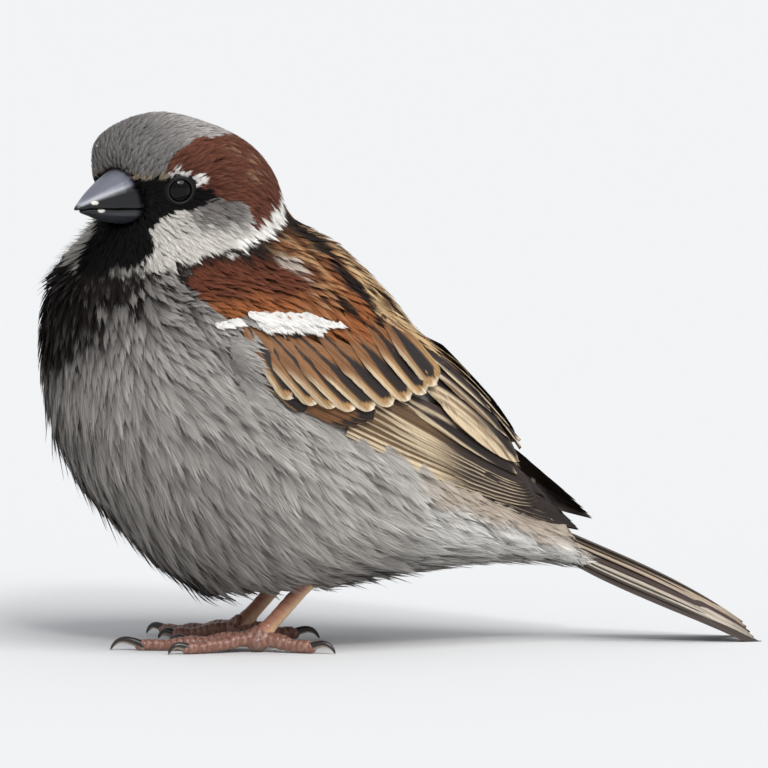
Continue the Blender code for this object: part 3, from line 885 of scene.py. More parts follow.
# %% Unwrap of the body
PATCH = 0.003  # a plume's share of the unwrap
SPINE_WAY = unit(np.array((0.0, 0.82, -0.57)))
SPINE_POINT = np.array((0.0, -20.0, 48.0))
SPINE_UP = unit(np.cross((1.0, 0, 0), SPINE_WAY))
SPINE_LENGTH = 150.0


def unwrap(points):
    """Angle round the long axis and distance along it, both fitted into 0..1."""
    r = points - SPINE_POINT
    angle = np.arctan2(r[..., 0], r @ SPINE_UP)
    round_body = 0.5 + 0.97 * angle / (2 * np.pi)
    return np.stack([round_body, 0.5 + (r @ SPINE_WAY) / SPINE_LENGTH], axis=-1)


# %% Pieces of coat
PIECE_LIMIT = 190000  # triangles in one coat piece


def dressed(name, points, faces, colour, unwrapped, grain=None, shading=None):
    """A smooth mesh object with tints and its unwrap, and with the barbs' own places if given."""
    mesh = new_mesh(name, points, faces)
    tint = mesh.color_attributes.new("tint", "FLOAT_COLOR", "POINT")
    shown = np.ones((len(points), 4), np.float32)
    shown[:, :colour.shape[1]] = np.clip(colour, 0, 1)
    tint.data.foreach_set("color", shown.ravel())
    layer = mesh.uv_layers.new(name="OFBake")
    layer.data.foreach_set("uv", unwrapped[faces.ravel()].astype(np.float32).ravel())
    if grain is not None:
        held = mesh.attributes.new("grain", "FLOAT_VECTOR", "POINT")
        held.data.foreach_set("vector", grain.astype(np.float32).ravel())
    mesh.polygons.foreach_set("use_smooth", np.ones(len(faces), bool))
    if shading is not None:
        mesh.normals_split_custom_set_from_vertices(shading.tolist())
    return place(name, mesh)


def joined(name, held):
    """One piece from runs of plumes, each given as points, faces, colours, unwrap and shading."""
    points, faces, colours, unwrapped, shadings = [], [], [], [], []
    offset = 0
    for p, f, colour, flat, shading in held:
        starts = (np.arange(len(p)) * p.shape[1])[:, None, None]
        points.append(p.reshape(-1, 3))
        faces.append((f + starts).reshape(-1, 3) + offset)
        colours.append(colour.reshape(-1, 3))
        unwrapped.append(flat.reshape(-1, 2))
        shadings.append(shading.reshape(-1, 3))
        offset += p.shape[0] * p.shape[1]
    arrays = [np.concatenate(part) for part in (points, faces, colours, unwrapped)]
    return dressed(name, *arrays, shading=np.concatenate(shadings))


def coat_pieces(name, tracts):
    """Joins tracts of plumes into as few pieces as the limit allows."""
    made, held, count = [], [], 0
    for points, faces, *rest in tracts:
        first = 0
        while first < len(points):
            room = (PIECE_LIMIT - count) // len(faces)
            if room < 1:
                made.append(joined(f"{name}_{len(made) + 1}", held))
                held, count = [], 0
                continue
            last = min(len(points), first + room)
            held.append((points[first:last], faces, *(part[first:last] for part in rest)))
            count += (last - first) * len(faces)
            first = last
    made.append(joined(f"{name}_{len(made) + 1}", held))
    triangles = sum(len(piece.data.polygons) for piece in made)
    print(name, "plumes:", sum(len(t[0]) for t in tracts), "pieces:", len(made),
          "triangles:", triangles)
    return made


# %% [markdown]
# ## Where plumes grow, and how big
# Face feathers are a millimetre or two long and crowded, breast and belly feathers five times that.
# None grow on the eyes, the bill, the feet, or where the wing's own big feathers lie.

# %% Growing places
BARE_EYE = 2.35  # no feathers grow nearer to the eye's axis
BARE_FEET = 9.5  # nor below this height


def on_wing(points, search=3.0, touch=0.7):
    """Whether each point is on one of the wing solids."""
    near = []
    for side in SIDES:
        runs = [WING_ONLY[side].find_nearest(p, search)[3] for p in points]
        near.append([search if run is None else run for run in runs])
    return np.min(near, axis=0) < touch


def regions(points):
    """Masks by name for feather tracts; the plate is where the wing's big feathers lie."""
    a, b = chart_place(points)
    ahead, sideways, up = head_place(points)
    x, y, z = np.abs(points[:, 0]), points[:, 1], points[:, 2]
    head = (up > edge(WHITE_EDGE, bearing_of(ahead, sideways)) - 1.5) & (up > 59)
    plate = on_wing(points) & ((b > edge(BAR_TOP, a) + 0.5) | (a > 30)) & ~head & (a > 6)
    plate &= b < edge(FLANK_EDGE, a) - 0.3
    plate &= ~((x < 9.5) & (y < 15) & (b < edge(WING_TOP, a) + 3.5))
    above = b < edge(BAR_TOP, a) + 1.5
    shoulder = ~head & above & ((b > edge(SHOULDER_TOP, a) - 1) | (y > -24))
    shoulder &= (z > 34) & (a > -4) & (y < 12 + 5 * (x < 9.5)) & ~plate
    vent = (y > -4) & ~head & ~shoulder
    ridge = (z > back_line(y) + 0.5) & (y > 8) & (x < 9) & ~shoulder
    bare = (eye_gap(points) < BARE_EYE) | (z < BARE_FEET) | ridge
    return {"head": head & ~bare, "shoulder": shoulder & ~bare, "vent": vent & ~bare & ~plate,
            "body": ~head & ~shoulder & ~vent & ~bare & ~plate}


FACE_MIDDLES = FORM[FORM_FACES].mean(axis=1)
REGIONS = regions(FACE_MIDDLES)
print("triangles to grow on:", {name: int(mask.sum()) for name, mask in REGIONS.items()})


def roots_in(region, gap, seed):
    """Scattered roots in one region; gap gives the spacing wanted at each place."""
    mask = REGIONS[region]
    return scattered(FORM, FORM_FACES[mask], gap, seed)


# %% How fringes are painted
BLACK_BASE = (0.0084, 0.0078)  # mean tint of a base: not black, black


def soft_fringe(base, tip, t, wide):
    """Paler towards tip and edges; black plumes keep a dark middle and only their rim is pale."""
    f = np.clip(0.25 + 0.6 * ramp(0.2, 0.9, t) + 0.2 * wide, 0, 1)
    black = ramp(*BLACK_BASE, base.mean(axis=-1))
    f = f + black * (ramp(0.55, 0.92, t) * (0.3 + 0.7 * wide) - f)
    return mix(base, tip, f)


# %% Head plumes
PUFF = 2.0  # how far the off cheek is fluffed out
HOOD = 11.0  # distance from the bill where face feathers give way to longer ones


def face_gap(points):
    """Crowded round eyes and bill."""
    far = np.linalg.norm(points - BILL_BASE, axis=1)
    gap = (0.54 + 0.10 * ramp(5, HOOD, far)) * (far < HOOD + 1)
    return gap - 0.08 * ramp(5.0, 2.5, eye_gap(points))


def hood_gap(points):
    """Looser towards the nape."""
    far = np.linalg.norm(points - BILL_BASE, axis=1)
    return (0.58 + 0.22 * ramp(HOOD, 22, far)) * (far > HOOD - 1)


def head_plumes(hood):
    """Feathers of the face, or of the crown, cheeks and nape behind it."""
    roots, rng = roots_in("head", hood_gap if hood else face_gap, 3 + hood)
    far = np.linalg.norm(roots - BILL_BASE, axis=1)
    roots = roots[(far > HOOD) == hood]
    far = np.linalg.norm(roots - BILL_BASE, axis=1)
    n = len(roots)
    length = 1.4 + 3.0 * ramp(3, 23, far)
    way = lie_of(roots, form.facing(roots))
    for side in SIDES:
        to_eye = EYES[side] - roots
        ahead = (to_eye * way).sum(axis=1)
        off = np.linalg.norm(to_eye - ahead[:, None] * way, axis=1)
        room = np.maximum(ahead - 2.25, 0.55)
        length = np.where((ahead > 0) & (off < 2.6), np.minimum(length, room), length)
    length *= rng.uniform(0.85, 1.15, n)
    width = 0.16 * length + 0.16
    lift = 0.03 + 0.05 * ramp(8, 22, far) + rng.uniform(0, 0.07, n)
    ahead, sideways, z = head_place(roots)
    puff = ramp(-3, -7, sideways) * ramp(4, 10, ahead) * ramp(59, 62, z) * ramp(73, 69, z)
    lift = lift + PUFF * puff * rng.uniform(0.7, 1.1, n)
    length = length + 1.6 * puff
    point = rng.uniform(0.1, 0.6, n) * (1 - 0.8 * puff)
    width = width * (1 + 0.25 * puff)
    depth = np.full(n, 0.3)
    barbs = 12 if hood else 7
    return plumes(roots, rng, length, width, depth, lift, point, barbs, 0.046, soft_fringe, 0.58)


# %% Body plumes
def body_gap(points):
    """Closer on the breast than on the belly."""
    return 1.05 + 0.25 * ramp(56, 30, points[:, 2])


def body_plumes():
    """Feathers of breast, flanks and belly, longer lower down and short again by the legs."""
    roots, rng = roots_in("body", body_gap, 5)
    n = len(roots)
    low = ramp(60, 30, roots[:, 2])
    length = (5.4 + 4.0 * low) * rng.uniform(0.8, 1.2, n)
    near_leg = ramp(16, 9, roots[:, 2])
    length *= 1 - 0.4 * near_leg
    width = (0.95 + 0.35 * low) * (1 - 0.35 * near_leg)
    lift = 0.25 + 0.4 * low * rng.uniform(0.2, 1.3, n)
    point = rng.uniform(0.1, 0.9, n) * (0.6 + 0.4 * low)
    depth = np.full(n, 1.2)
    return plumes(roots, rng, length, width, depth, lift, point, 18, 0.062, soft_fringe, 0.6)


# %% Wisps that hang off the belly
def wisp_plumes():
    """Longer pointed feathers, thinly spread, whose tips stand off the lower breast and belly."""
    low = (FACE_MIDDLES[:, 2] < 46) & (FACE_MIDDLES[:, 1] < -4) & REGIONS["body"]
    roots, rng = scattered(FORM, FORM_FACES[low], lambda p: np.full(len(p), 2.5), 6)
    n = len(roots)
    length = rng.uniform(8.5, 11.5, n) * (1 - 0.35 * ramp(16, 9, roots[:, 2]))
    lift = rng.uniform(0.6, 2.1, n)
    point = rng.uniform(0.15, 0.6, n)
    depth = np.full(n, 0.9)
    return plumes(roots, rng, length, 0.19 * length, depth, lift, point, 24, 0.09, soft_fringe, 0.7)


# %% Flank feathers that lap over the wing
def chart_roots(side, a, b):
    """Places on the folded wing, from its own millimetres."""
    chart = CHARTS[side]
    flat = chart.over(a, b)
    depth = chart.depth(flat)
    return (flat + depth[:, None] * chart.drop)[~np.isnan(depth)]


def lap_plumes():
    """Soft flank feathers whose ends cover the wing's front and lower edge."""
    rng = np.random.default_rng(12)
    spots = []
    for side in SIDES:
        a = np.concatenate([rng.uniform(8.5, 18, 90), rng.uniform(16, 62, 150)])
        b = edge(FLANK_EDGE, a) + rng.uniform(0.2, 2.0, len(a)) + 0.5
        spots.append(chart_roots(side, a, b))
    roots = np.concatenate(spots)
    n = len(roots)
    a, b = chart_place(roots)
    length = rng.uniform(4.5, 6.5, n) * (1 - 0.25 * ramp(30, 60, a))
    lift = rng.uniform(0.8, 1.35, n) * (1 - 0.55 * ramp(16, 40, a))
    point = rng.uniform(0.4, 1.0, n)
    depth = 0.25 - 0.5 * ramp(24, 8, a)
    turn = np.sign(roots[:, 0]) * (0.05 + 0.25 * ramp(22, 8, a))
    return plumes(roots, rng, length, 0.15 * length, depth, lift, point, 16, 0.06, soft_fringe,
                  0.6, turn)


# %% Vent and rump plumes
def vent_plumes():
    """Long feathers under and over the tail's base, flat where the wings cover them."""
    roots, rng = roots_in("vent", lambda p: np.full(len(p), 1.6), 7)
    n = len(roots)
    length = rng.uniform(6.5, 9.5, n)
    lift = rng.uniform(0.15, 0.5, n)
    point = rng.uniform(0.2, 0.9, n)
    between = (np.abs(roots[:, 0]) < 7) & (roots[:, 1] < 34) & (roots[:, 2] > 26)
    length = np.where(between, 0.6 * length, length)
    lift = np.where(between, 0.1, lift)
    width = 0.18 * length
    depth = np.full(n, 1.1)
    return plumes(roots, rng, length, width, depth, lift, point, 18, 0.075, soft_fringe, 0.6)


# %% Shoulder and mantle plumes
def shoulder_plumes():
    """Short, broad and crowded feathers of the mantle and the shoulder."""
    roots, rng = roots_in("shoulder", lambda p: 0.95 + 0.25 * ramp(-24, -4, p[:, 1]), 9)
    n = len(roots)
    length = (4.2 + 2.8 * ramp(-26, -2, roots[:, 1])) * rng.uniform(0.85, 1.15, n)
    width = 0.17 * length
    lift = rng.uniform(0.15, 0.4, n)
    point = rng.uniform(0.0, 0.4, n)
    depth = np.full(n, 0.8)
    return plumes(roots, rng, length, width, depth, lift, point, 11, 0.065, soft_fringe, 0.55)


# %% White bar of the median coverts
BAR_ROWS = [(9.0, 23.0, 28, 0.2), (10.2, 19.0, 20, 1.0), (5.4, 7.6, 6, 0.6)]  # from, to, count, below


def bar_plumes():
    """Soft white feathers laid over the bases of the great coverts, on both wings."""
    rng = np.random.default_rng(11)
    spots = []
    for side in SIDES:
        for first, last, count, row in BAR_ROWS:
            a = np.linspace(first, last, count) + rng.normal(0, 0.15, count)
            b = edge(BAR_TOP, a) + row + rng.normal(0, 0.12, count)
            spots.append(chart_roots(side, a, b))
    roots = np.concatenate(spots)
    n = len(roots)
    length = rng.uniform(3.4, 4.2, n)
    a, b = chart_place(roots)
    length *= 1 - 0.45 * ramp(12, 6, a) - 0.62 * ramp(16, 23.5, a)

    def white(base, tip, t, wide):
        return WHITE * 0.9 * (0.85 + 0.15 * ramp(0, 0.5, t))[..., None]

    depth = np.full(n, -0.25)
    lift = rng.uniform(0.75, 0.95, n)
    point = rng.uniform(0.0, 0.3, n)
    return plumes(roots, rng, length, 0.26 * length, depth, lift, point, 18, 0.06, white, 0.5)


# %% Dress the bird
COAT = []
COAT += coat_pieces("head_plumage", [head_plumes(False), head_plumes(True)])
COAT += coat_pieces("body_plumage", [body_plumes(), wisp_plumes(), lap_plumes()])
COAT += coat_pieces("vent_plumage", [vent_plumes()])
COAT += coat_pieces("shoulder_plumage", [shoulder_plumes(), bar_plumes()])


# %% [markdown]
# ## Legs and toes
# A sparrow's foot is bare and scaly: broad scutes run down the front of the shank and along the top
# of each toe, and round pads sit below. Each toe is a string of balls along a line measured on its
# solid, swelling at every joint; one remesh melts the strings of a foot into a single form, and the
# grooves between scutes are then pressed in along the normals.

# %% Lines along the legs
LEG_VOXEL = 0.22
TOES = ["toe_inner_", "toe_middle_", "toe_outer_", "toe_hind_"]
SCUTE_LENGTH = (1.5, 1.0)  # shank, toe
LINE_POINTS = 26
PALM_HEIGHT = 2.0
PALM_RADII = (2.0, 2.0, 1.6)  # the pad where the toes meet
SOLE = 0.03  # height of the flat under each foot
SHANK_RUN_UP = 2.5  # how far the shank goes on inside the thigh
TOE_RUN_ON = 1.5  # how far a toe goes on inside its claw


def leg_lines(side):
    """Centre lines and radii: the shank first, then the four toes."""
    shank = node_points("tarsus_" + side)
    palm = shank[shank[:, 2] < 3.2].mean(axis=0)
    palm[2] = PALM_HEIGHT
    top = shank[shank[:, 2] > shank[:, 2].max() - 1.5].mean(axis=0)
    t = np.linspace(0, 1, LINE_POINTS)
    way = unit(top - palm)
    reach = np.linalg.norm(top - palm) + SHANK_RUN_UP
    line = palm + np.outer(t * reach, way)
    radius = 1.02 + 0.42 * ramp(0.28, 0.0, t) + 0.35 * ramp(0.7, 1.0, t)
    lines = [(line, radius)]
    for toe in TOES:
        claw = node_points(toe.replace("toe", "claw") + side)
        solid = node_points(toe + side)
        far = solid[np.argsort(((solid - claw.mean(axis=0)) ** 2).sum(axis=1))[:8]].mean(axis=0)
        far = far + TOE_RUN_ON * unit((far - palm) * (1, 1, 0))
        thick = 1.0 if toe == "toe_hind_" else 0.92
        joints = 2.0 if toe in ("toe_hind_", "toe_inner_") else 3.0
        radius = thick * (1.30 - 0.34 * t) * (1 + 0.08 * np.cos(2 * np.pi * (joints * t + 0.15)))
        radius = radius * (1 - 0.12 * ramp(0.93, 1.0, t))
        line = palm + np.outer(t, far - palm)
        line[:, 2] = radius + 0.02 + 1.5 * (1 - t) ** 2.2
        lines.append((line, radius))
    return lines


LEG_LINES = {side: leg_lines(side) for side in SIDES}
for side, lines in LEG_LINES.items():
    lengths = [round(float(np.linalg.norm(line[-1] - line[0])), 1) for line, radius in lines]
    print(side, "shank and toes, millimetres:", lengths)


# %% Scutes and pads
SCUTE_BULGE, SCUTE_GROOVE = 0.05, 0.09
PAD_BULGE, PAD_LENGTH = 0.12, 1.7  # the length in scutes
COBBLE = 0.035  # fine grain between scutes and pads
SHANK_OUT = 0.2  # makes up for what the smoothing takes off the thin shank


def scaly(points, normals, side):
    """How far scutes and pads move each point, how deep in a groove it is, and if it's on the shank."""
    gaps, runs = [], []
    for line, radius in LEG_LINES[side]:
        gap = np.linalg.norm(points[:, None] - line, axis=2) / radius
        way = unit(line[-1] - line[0])
        runs.append((points - line[0]) @ way)
        gaps.append(gap.min(axis=1))
    owner = np.argmin(gaps, axis=0)
    run = np.array(runs)[owner, np.arange(len(points))]
    shank = (owner == 0) & (points[:, 2] > 2.6)
    wave = np.where(shank, *SCUTE_LENGTH)
    front = np.where(shank, ramp(0.25, -0.35, normals[:, 1]), ramp(-0.35, 0.2, normals[:, 2]))
    ridge = np.abs(np.sin(np.pi * run / wave))
    groove = (1 - ramp(0.0, 0.5, ridge)) * front
    under = np.where(shank, 0, ramp(-0.05, -0.6, normals[:, 2])) * ramp(0.3, 0.6, points[:, 2])
    pads = np.abs(np.sin(np.pi * run / (PAD_LENGTH * wave)))
    cobble = np.sin(3.9 * points[:, 0]) * np.sin(4.3 * points[:, 1]) * np.sin(4.1 * points[:, 2])
    deep = np.where(shank, 0.45, 1.0)
    press = (SCUTE_BULGE * front * ridge ** 0.5 - SCUTE_GROOVE * groove) * deep
    press = press + PAD_BULGE * (pads - 0.5) * under
    press = press + COBBLE * cobble * (1 - front) + SHANK_OUT * shank
    return press, groove, shank


def leg(side):
    """Shank, palm and toes of one foot as a single closed form."""
    balls = []
    for line, radius in LEG_LINES[side]:
        balls += [ball(middle, r, 16) for middle, r in zip(line, radius)]
    palm = LEG_LINES[side][0][0][0]
    balls.append(ball(palm + (0, 0, -0.35), PALM_RADII, 24))
    points, faces = remeshed(balls, LEG_VOXEL, 5)
    normals = normals_of(points, faces)
    press = scaly(points, normals, side)[0]
    points = points + press[:, None] * normals
    points[:, 2] = np.maximum(points[:, 2], SOLE)
    return points, faces


# %% [markdown]
# ## Skin
# The skin is the form sunk by the coat's depth, joined into one surface with the legs and with a
# rounded rim for each eyelid. The lids are rings turned about the eye's outward axis; each ring's
# outer edge is dropped onto the face so that it grows out of it.

# %% Sunk form
def coat_depth(points):
    """How far below the feather tips the skin lies."""
    far = np.linalg.norm(points - BILL_BASE, axis=1)
    depth = 0.45 + 0.9 * ramp(6, 30, far)
    depth = depth * (1 - 0.45 * ramp(16, 10, points[:, 2]))
    return depth * (0.55 + 0.45 * ramp(2.6, 5.0, eye_gap(points)))


SKIN_VOXEL = 0.8
WINGS_END = 6.0  # how far back the skin still fills the folded wings
parts = [fattened(name, CLOSE) for name in FLESH + WINGS]
for points, faces in parts[-2:]:
    points[:, 1] = np.minimum(points[:, 1], WINGS_END)
parts += HEAD_FILL
SKIN, SKIN_FACES = remeshed(parts, FORM_VOXEL, 6)
normals = normals_of(SKIN, SKIN_FACES)
sunk = SKIN - (CLOSE + coat_depth(SKIN))[:, None] * normals
SKIN, SKIN_FACES = remeshed([(sunk, SKIN_FACES)], SKIN_VOXEL, 1)
skin_surface = Surface(SKIN, SKIN_FACES, normals_of(SKIN, SKIN_FACES))
print("sunk skin:", len(SKIN_FACES), "triangles")


# %% Eyelids
LID_TURNS = 72
LID_PROFILE = [(1.80, 1.72), (1.86, 1.98), (1.98, 2.12), (2.14, 2.12), (2.34, 1.98)]  # off, out
LID_INSIDE = [(2.6, -0.5), (1.7, 0.4)]  # hidden rings that close the rim under the face
LID_FOOT = (2.9, 0.15)  # where the lid runs out on the face: distance, and more above the eye


def lid(side):
    """A closed rim round one eye."""
    out = EYE_OUT[side]
    up = unit(np.array((0, 0, 1.0)) - out[2] * out)
    across = np.cross(up, out)
    angle = np.linspace(0, 2 * np.pi, LID_TURNS, endpoint=False)
    spoke = np.cos(angle)[:, None] * across + np.sin(angle)[:, None] * up
    rows = [EYES[side] + r * spoke + h * out for r, h in LID_PROFILE]
    foot = LID_FOOT[0] + LID_FOOT[1] * np.sin(angle)
    start = EYES[side] + foot[:, None] * spoke + 8 * out
    run = skin_surface.shoot(start, -out)
    run = np.where(np.isnan(run), 7.0, run)
    rows.append(start - (run + 0.12)[:, None] * out)
    rows += [EYES[side] + r * spoke + h * out for r, h in LID_INSIDE]
    points = np.concatenate(rows)
    faces = []
    for ring in range(len(rows)):
        other = (ring + 1) % len(rows)
        for i in range(LID_TURNS):
            j = (i + 1) % LID_TURNS
            a, b = ring * LID_TURNS + i, ring * LID_TURNS + j
            c, d = other * LID_TURNS + j, other * LID_TURNS + i
            faces += [(a, b, c), (a, c, d)]
    return points, np.array(faces)


# %% One skin
def united(body, parts):
    """Joins closed parts to the body with an exact union."""
    thing = place("skin", new_mesh("skin", *body))
    tools = []
    for k, part in enumerate(parts):
        tool = place(f"part_{k}", new_mesh(f"part_{k}", *part))
        joint = thing.modifiers.new("joint", "BOOLEAN")
        joint.operation = "UNION"
        joint.solver = "EXACT"
        joint.object = tool
        tools.append(tool)
    bpy.context.view_layer.update()
    result = mesh_arrays(thing.evaluated_get(bpy.context.evaluated_depsgraph_get()).data)
    for tool in tools + [thing]:
        bpy.data.objects.remove(tool)
    return result


skin_parts = [leg("left"), leg("right"), lid("left"), lid("right")]
print("legs and lids:", [len(part[1]) for part in skin_parts])
SKIN, SKIN_FACES = united((SKIN, SKIN_FACES), skin_parts)
print("skin:", len(SKIN_FACES), "triangles")


# %% Skin colours
SHANK_RED = light(152, 104, 84)
SHANK_TAN = light(206, 170, 132)
TOE_BROWN = light(128, 88, 75)
# The dark for the grooves between scutes is painted shade.
LEG_GROOVE_SHADE = light(70, 42, 36)
PAD_PALE = light(178, 146, 128)
LID_GREY = light(20, 18, 18)
LID_RIM = light(50, 47, 45)
LID_CREST = 2.02  # distance from the eye's axis of the pale rim
LEGS_BELOW = 15.0  # height under which a point may be on a leg


def skin_tints(points, normals):
    """Colours of feather bases, lids and legs; the fourth number says how shiny."""
    base, tip = marks(points, np.zeros((len(points), 3)))
    colour = mix(base, tip, 0.25)
    shine = np.zeros(len(points))
    eye_off = eye_gap(points)
    colour = mix(colour, LID_GREY, ramp(2.9, 2.5, eye_off))
    colour = mix(colour, LID_RIM, 0.8 * np.exp(-((eye_off - LID_CREST) / 0.09) ** 2))
    for side, sign in SIDES.items():
        bare = (points[:, 2] < LEGS_BELOW) & (points[:, 0] * sign > 0)
        spots, facing = points[bare], normals[bare]
        gaps = [np.linalg.norm(spots[:, None] - line, axis=2).min(axis=1) / radius.mean()
                for line, radius in LEG_LINES[side]]
        on_leg = ramp(2.2, 1.6, np.min(gaps, axis=0))
        groove, shank = scaly(spots, facing, side)[1:]
        shank_colour = mix(SHANK_RED, SHANK_TAN, ramp(-0.2, 0.6, facing[:, 1]))
        leg_colour = mix(TOE_BROWN, shank_colour, shank * 1.0)
        mottle = np.sin(5.1 * spots[:, 0] + 2.0 * np.sin(3.7 * spots[:, 1]))
        leg_colour = mix(leg_colour, PAD_PALE, 0.35 * ramp(0.2, 0.9, mottle) * ~shank)
        # The grooves between scutes and pads are darkened with painted shade.
        leg_colour = mix(leg_colour, LEG_GROOVE_SHADE, (0.25 + 0.45 * ~shank) * groove)
        colour[bare] = mix(colour[bare], leg_colour, on_leg)
        shine[bare] = np.maximum(shine[bare], 0.5 * on_leg)
    return np.column_stack([colour, shine])


tints = skin_tints(SKIN, normals_of(SKIN, SKIN_FACES))
skin = dressed("skin", SKIN, SKIN_FACES, tints, unwrap(SKIN))
LEGS = ["tarsus_left", "tarsus_right"] + [toe + side for toe in TOES for side in SIDES]
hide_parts(*FLESH, *LEGS)
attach(skin, "root")


# %% [markdown]
# ## Eyes, bill and claws
# The eye is a wet dark ball, deep behind the lids. The horny bill is the solid bill remeshed and
# smoothed, with a nostril pressed into each side at its base. A claw's solid is too plain to smooth:
# each one is a row of shrinking balls, laid along an arch from the solid's base to its tip and melted
# into one horn. One piece holds the four claws of a foot.

# %% Eyes
EYE_RADIUS = 2.6


def smooth_ball(name, middle, radius):
    """A round ball whose shading hides its facets."""
    work = bmesh.new()
    bmesh.ops.create_uvsphere(work, u_segments=64, v_segments=40, radius=radius * MM)
    bmesh.ops.translate(work, verts=work.verts, vec=Vector(middle) * MM)
    mesh = bpy.data.meshes.new(name)
    work.to_mesh(mesh)
    work.free()
    mesh.polygons.foreach_set("use_smooth", [True] * len(mesh.polygons))
    return place(name, mesh)


EYEBALLS = []
for side in SIDES:
    ball_piece = smooth_ball("eyeball_" + side, EYES[side], EYE_RADIUS)
    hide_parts("eye_" + side)
    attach(ball_piece, "root")
    EYEBALLS.append(ball_piece)
print("eyeballs:", [piece.name for piece in EYEBALLS])


# %% Bill
BILL_VOXEL = 0.17
# The blue-grey of the upper mandible's top is painted sheen over black horn.
BILL_TOP_SHEEN = light(96, 98, 108)
BILL_SIDE = light(20, 20, 22)
BILL_LOWER = light(46, 47, 51)
# The pale line along the bill's shoulder is a painted highlight.
BILL_SHOULDER_HIGHLIGHT = light(140, 141, 148)
BILL_PALE = light(205, 203, 194)
BILL_SHOULDER = [(16, 76.4), (20.8, 75.7), (24.1, 74.8), (26.2, 74.1), (27.3, 73.7), (29.4, 72.9)]
BILL_CHIPS = [(27.5, 73.2), (26.2, 71.9)]  # pale worn spots: ahead, height
BILL_FAT = 0.10  # makes up for what the smoothing takes off
NOSTRIL = (18.2, 76.2)
NOSTRIL_DEPTH = 0.32


def bill_half(name):
    """One mandible in horn: dark sides, a top made paler by painted blue-grey sheen, a painted
    highlight along the shoulder, and pale worn spots.
    """
    points, faces = remeshed([fattened(name, BILL_FAT)], BILL_VOXEL, 8)
    normals = normals_of(points, faces)
    ahead, sideways, z = head_place(points)
    if name == "bill_upper":
        for sign in (1, -1):
            pit = ((ahead - NOSTRIL[0]) / 0.55) ** 2 + ((z - NOSTRIL[1]) / 0.32) ** 2
            pit = np.exp(-pit) * (sideways * sign > 0)
            points = points - NOSTRIL_DEPTH * pit[:, None] * normals
    shoulder = edge(BILL_SHOULDER, ahead)
    # Above the shoulder line the horn takes the painted blue-grey sheen.
    top = ramp(-0.25, 0.35, z - shoulder)
    colour = mix(BILL_SIDE, BILL_TOP_SHEEN, top)
    # A painted highlight runs just above the shoulder line, towards the tip.
    painted_highlight = np.exp(-((z - shoulder - 0.15) / 0.28) ** 2) * ramp(20, 23, ahead)
    colour = mix(colour, BILL_SHOULDER_HIGHLIGHT, painted_highlight)
    ridge = ramp(1.0, 0.2, np.abs(sideways)) * top
    colour = mix(colour, BILL_TOP_SHEEN * 0.55, 0.6 * ridge * ramp(26, 22, ahead))
    if name == "bill_lower":
        colour = mix(BILL_SIDE, BILL_LOWER, ramp(71.9, 71.2, z))
    for spot_ahead, spot_z in BILL_CHIPS:
        chip = ((ahead - spot_ahead) / 0.55) ** 2 + ((z - spot_z) / 0.30) ** 2
        colour = mix(colour, BILL_PALE, ramp(1.3, 0.7, chip) * (sideways > 0))
    piece = dressed(name.replace("bill", "bill_horn"), points, faces, colour, unwrap(points))
    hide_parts(name)
    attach(piece, "root")
    return piece


BILL_PIECES = [bill_half("bill_upper"), bill_half("bill_lower")]
print("bill:", [len(piece.data.polygons) for piece in BILL_PIECES], "triangles")


# %% Claws
CLAW_DARK = light(38, 31, 29)
CLAW_PALE = light(186, 168, 146)
CLAW_BALLS = 60
CLAW_RADIUS = (0.72, 0.15)  # at the toe, at the tip
CLAW_VOXEL = 0.10
CLAW_ARCH = 0.17  # how high it arches, as a share of its length


def horn(name):
    """A round horn, thick at the toe, arching from the claw's own base to its own tip."""
    points = node_points(name)
    toe = node_points(name.replace("claw", "toe")).mean(axis=0)
    far = np.linalg.norm(points - toe, axis=1)
    base = points[far < np.quantile(far, 0.08)].mean(axis=0)
    tip = points[np.argmax(far)]
    reach = (tip - base) * (1, 1, 0)
    span = np.linalg.norm(reach)
    base = base + 0.6 * unit(reach)
    reach = tip - base
    t = np.linspace(0, 1, CLAW_BALLS)
    radius = CLAW_RADIUS[1] + (CLAW_RADIUS[0] - CLAW_RADIUS[1]) * (1 - t) ** 0.8
    line = base + reach * (np.sin(1.35 * t) / math.sin(1.35))[:, None]
    line[:, 2] = 0.88 * (1 - t ** 2) + (radius[-1] + 0.05) * t ** 2
    line[:, 2] += CLAW_ARCH * span * np.sin(np.pi * t) ** 1.2
    balls = [ball(middle, (r, r, 1.1 * r), 16) for middle, r in zip(line, radius)]
    return remeshed(balls, CLAW_VOXEL, 4)


def claws(side):
    """The four claws of one foot, paler below."""
    names = [toe.replace("toe", "claw") + side for toe in TOES]
    all_points, all_faces, all_colours, offset = [], [], [], 0
    for name in names:
        points, faces = horn(name)
        below = ramp(-0.15, -0.75, normals_of(points, faces)[:, 2])
        all_points.append(points)
        all_faces.append(faces + offset)
        all_colours.append(mix(CLAW_DARK, CLAW_PALE, 0.75 * below))
        offset += len(points)
    points = np.concatenate(all_points)
    faces = np.concatenate(all_faces)
    piece = dressed("claws_" + side, points, faces, np.concatenate(all_colours), unwrap(points))
    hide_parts(*names)
    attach(piece, "root")
    return piece


CLAW_PIECES = [claws(side) for side in SIDES]
print("claws:", [len(piece.data.polygons) for piece in CLAW_PIECES], "triangles")


# %% [markdown]
# ## The big feathers of wing and tail
# A flight feather is a stiff vane: a thin closed sheet, wider on its hidden side, tilted so that the
# upper feather laps over the one below. Rows of feathers are given by a few of their members in
# wing millimetres, and the rest are read off smooth curves between them. Painting works in each
# feather's own millimetres: how far from its tip, and how far from its shaft.

# %% One vane
COLUMNS, ROWS = 20, 30
SHEET = 0.10  # thickness


def vane_grid():
    """Fractions across and along, crowded towards edges and tip."""
    across = np.sin(np.linspace(-1, 1, COLUMNS) * np.pi / 2)
    across = 0.5 * across + 0.5 * np.linspace(-1, 1, COLUMNS)
    run = 1 - (1 - np.linspace(0, 1, ROWS)) ** 1.35
    return np.meshgrid(run, across, indexing="ij")


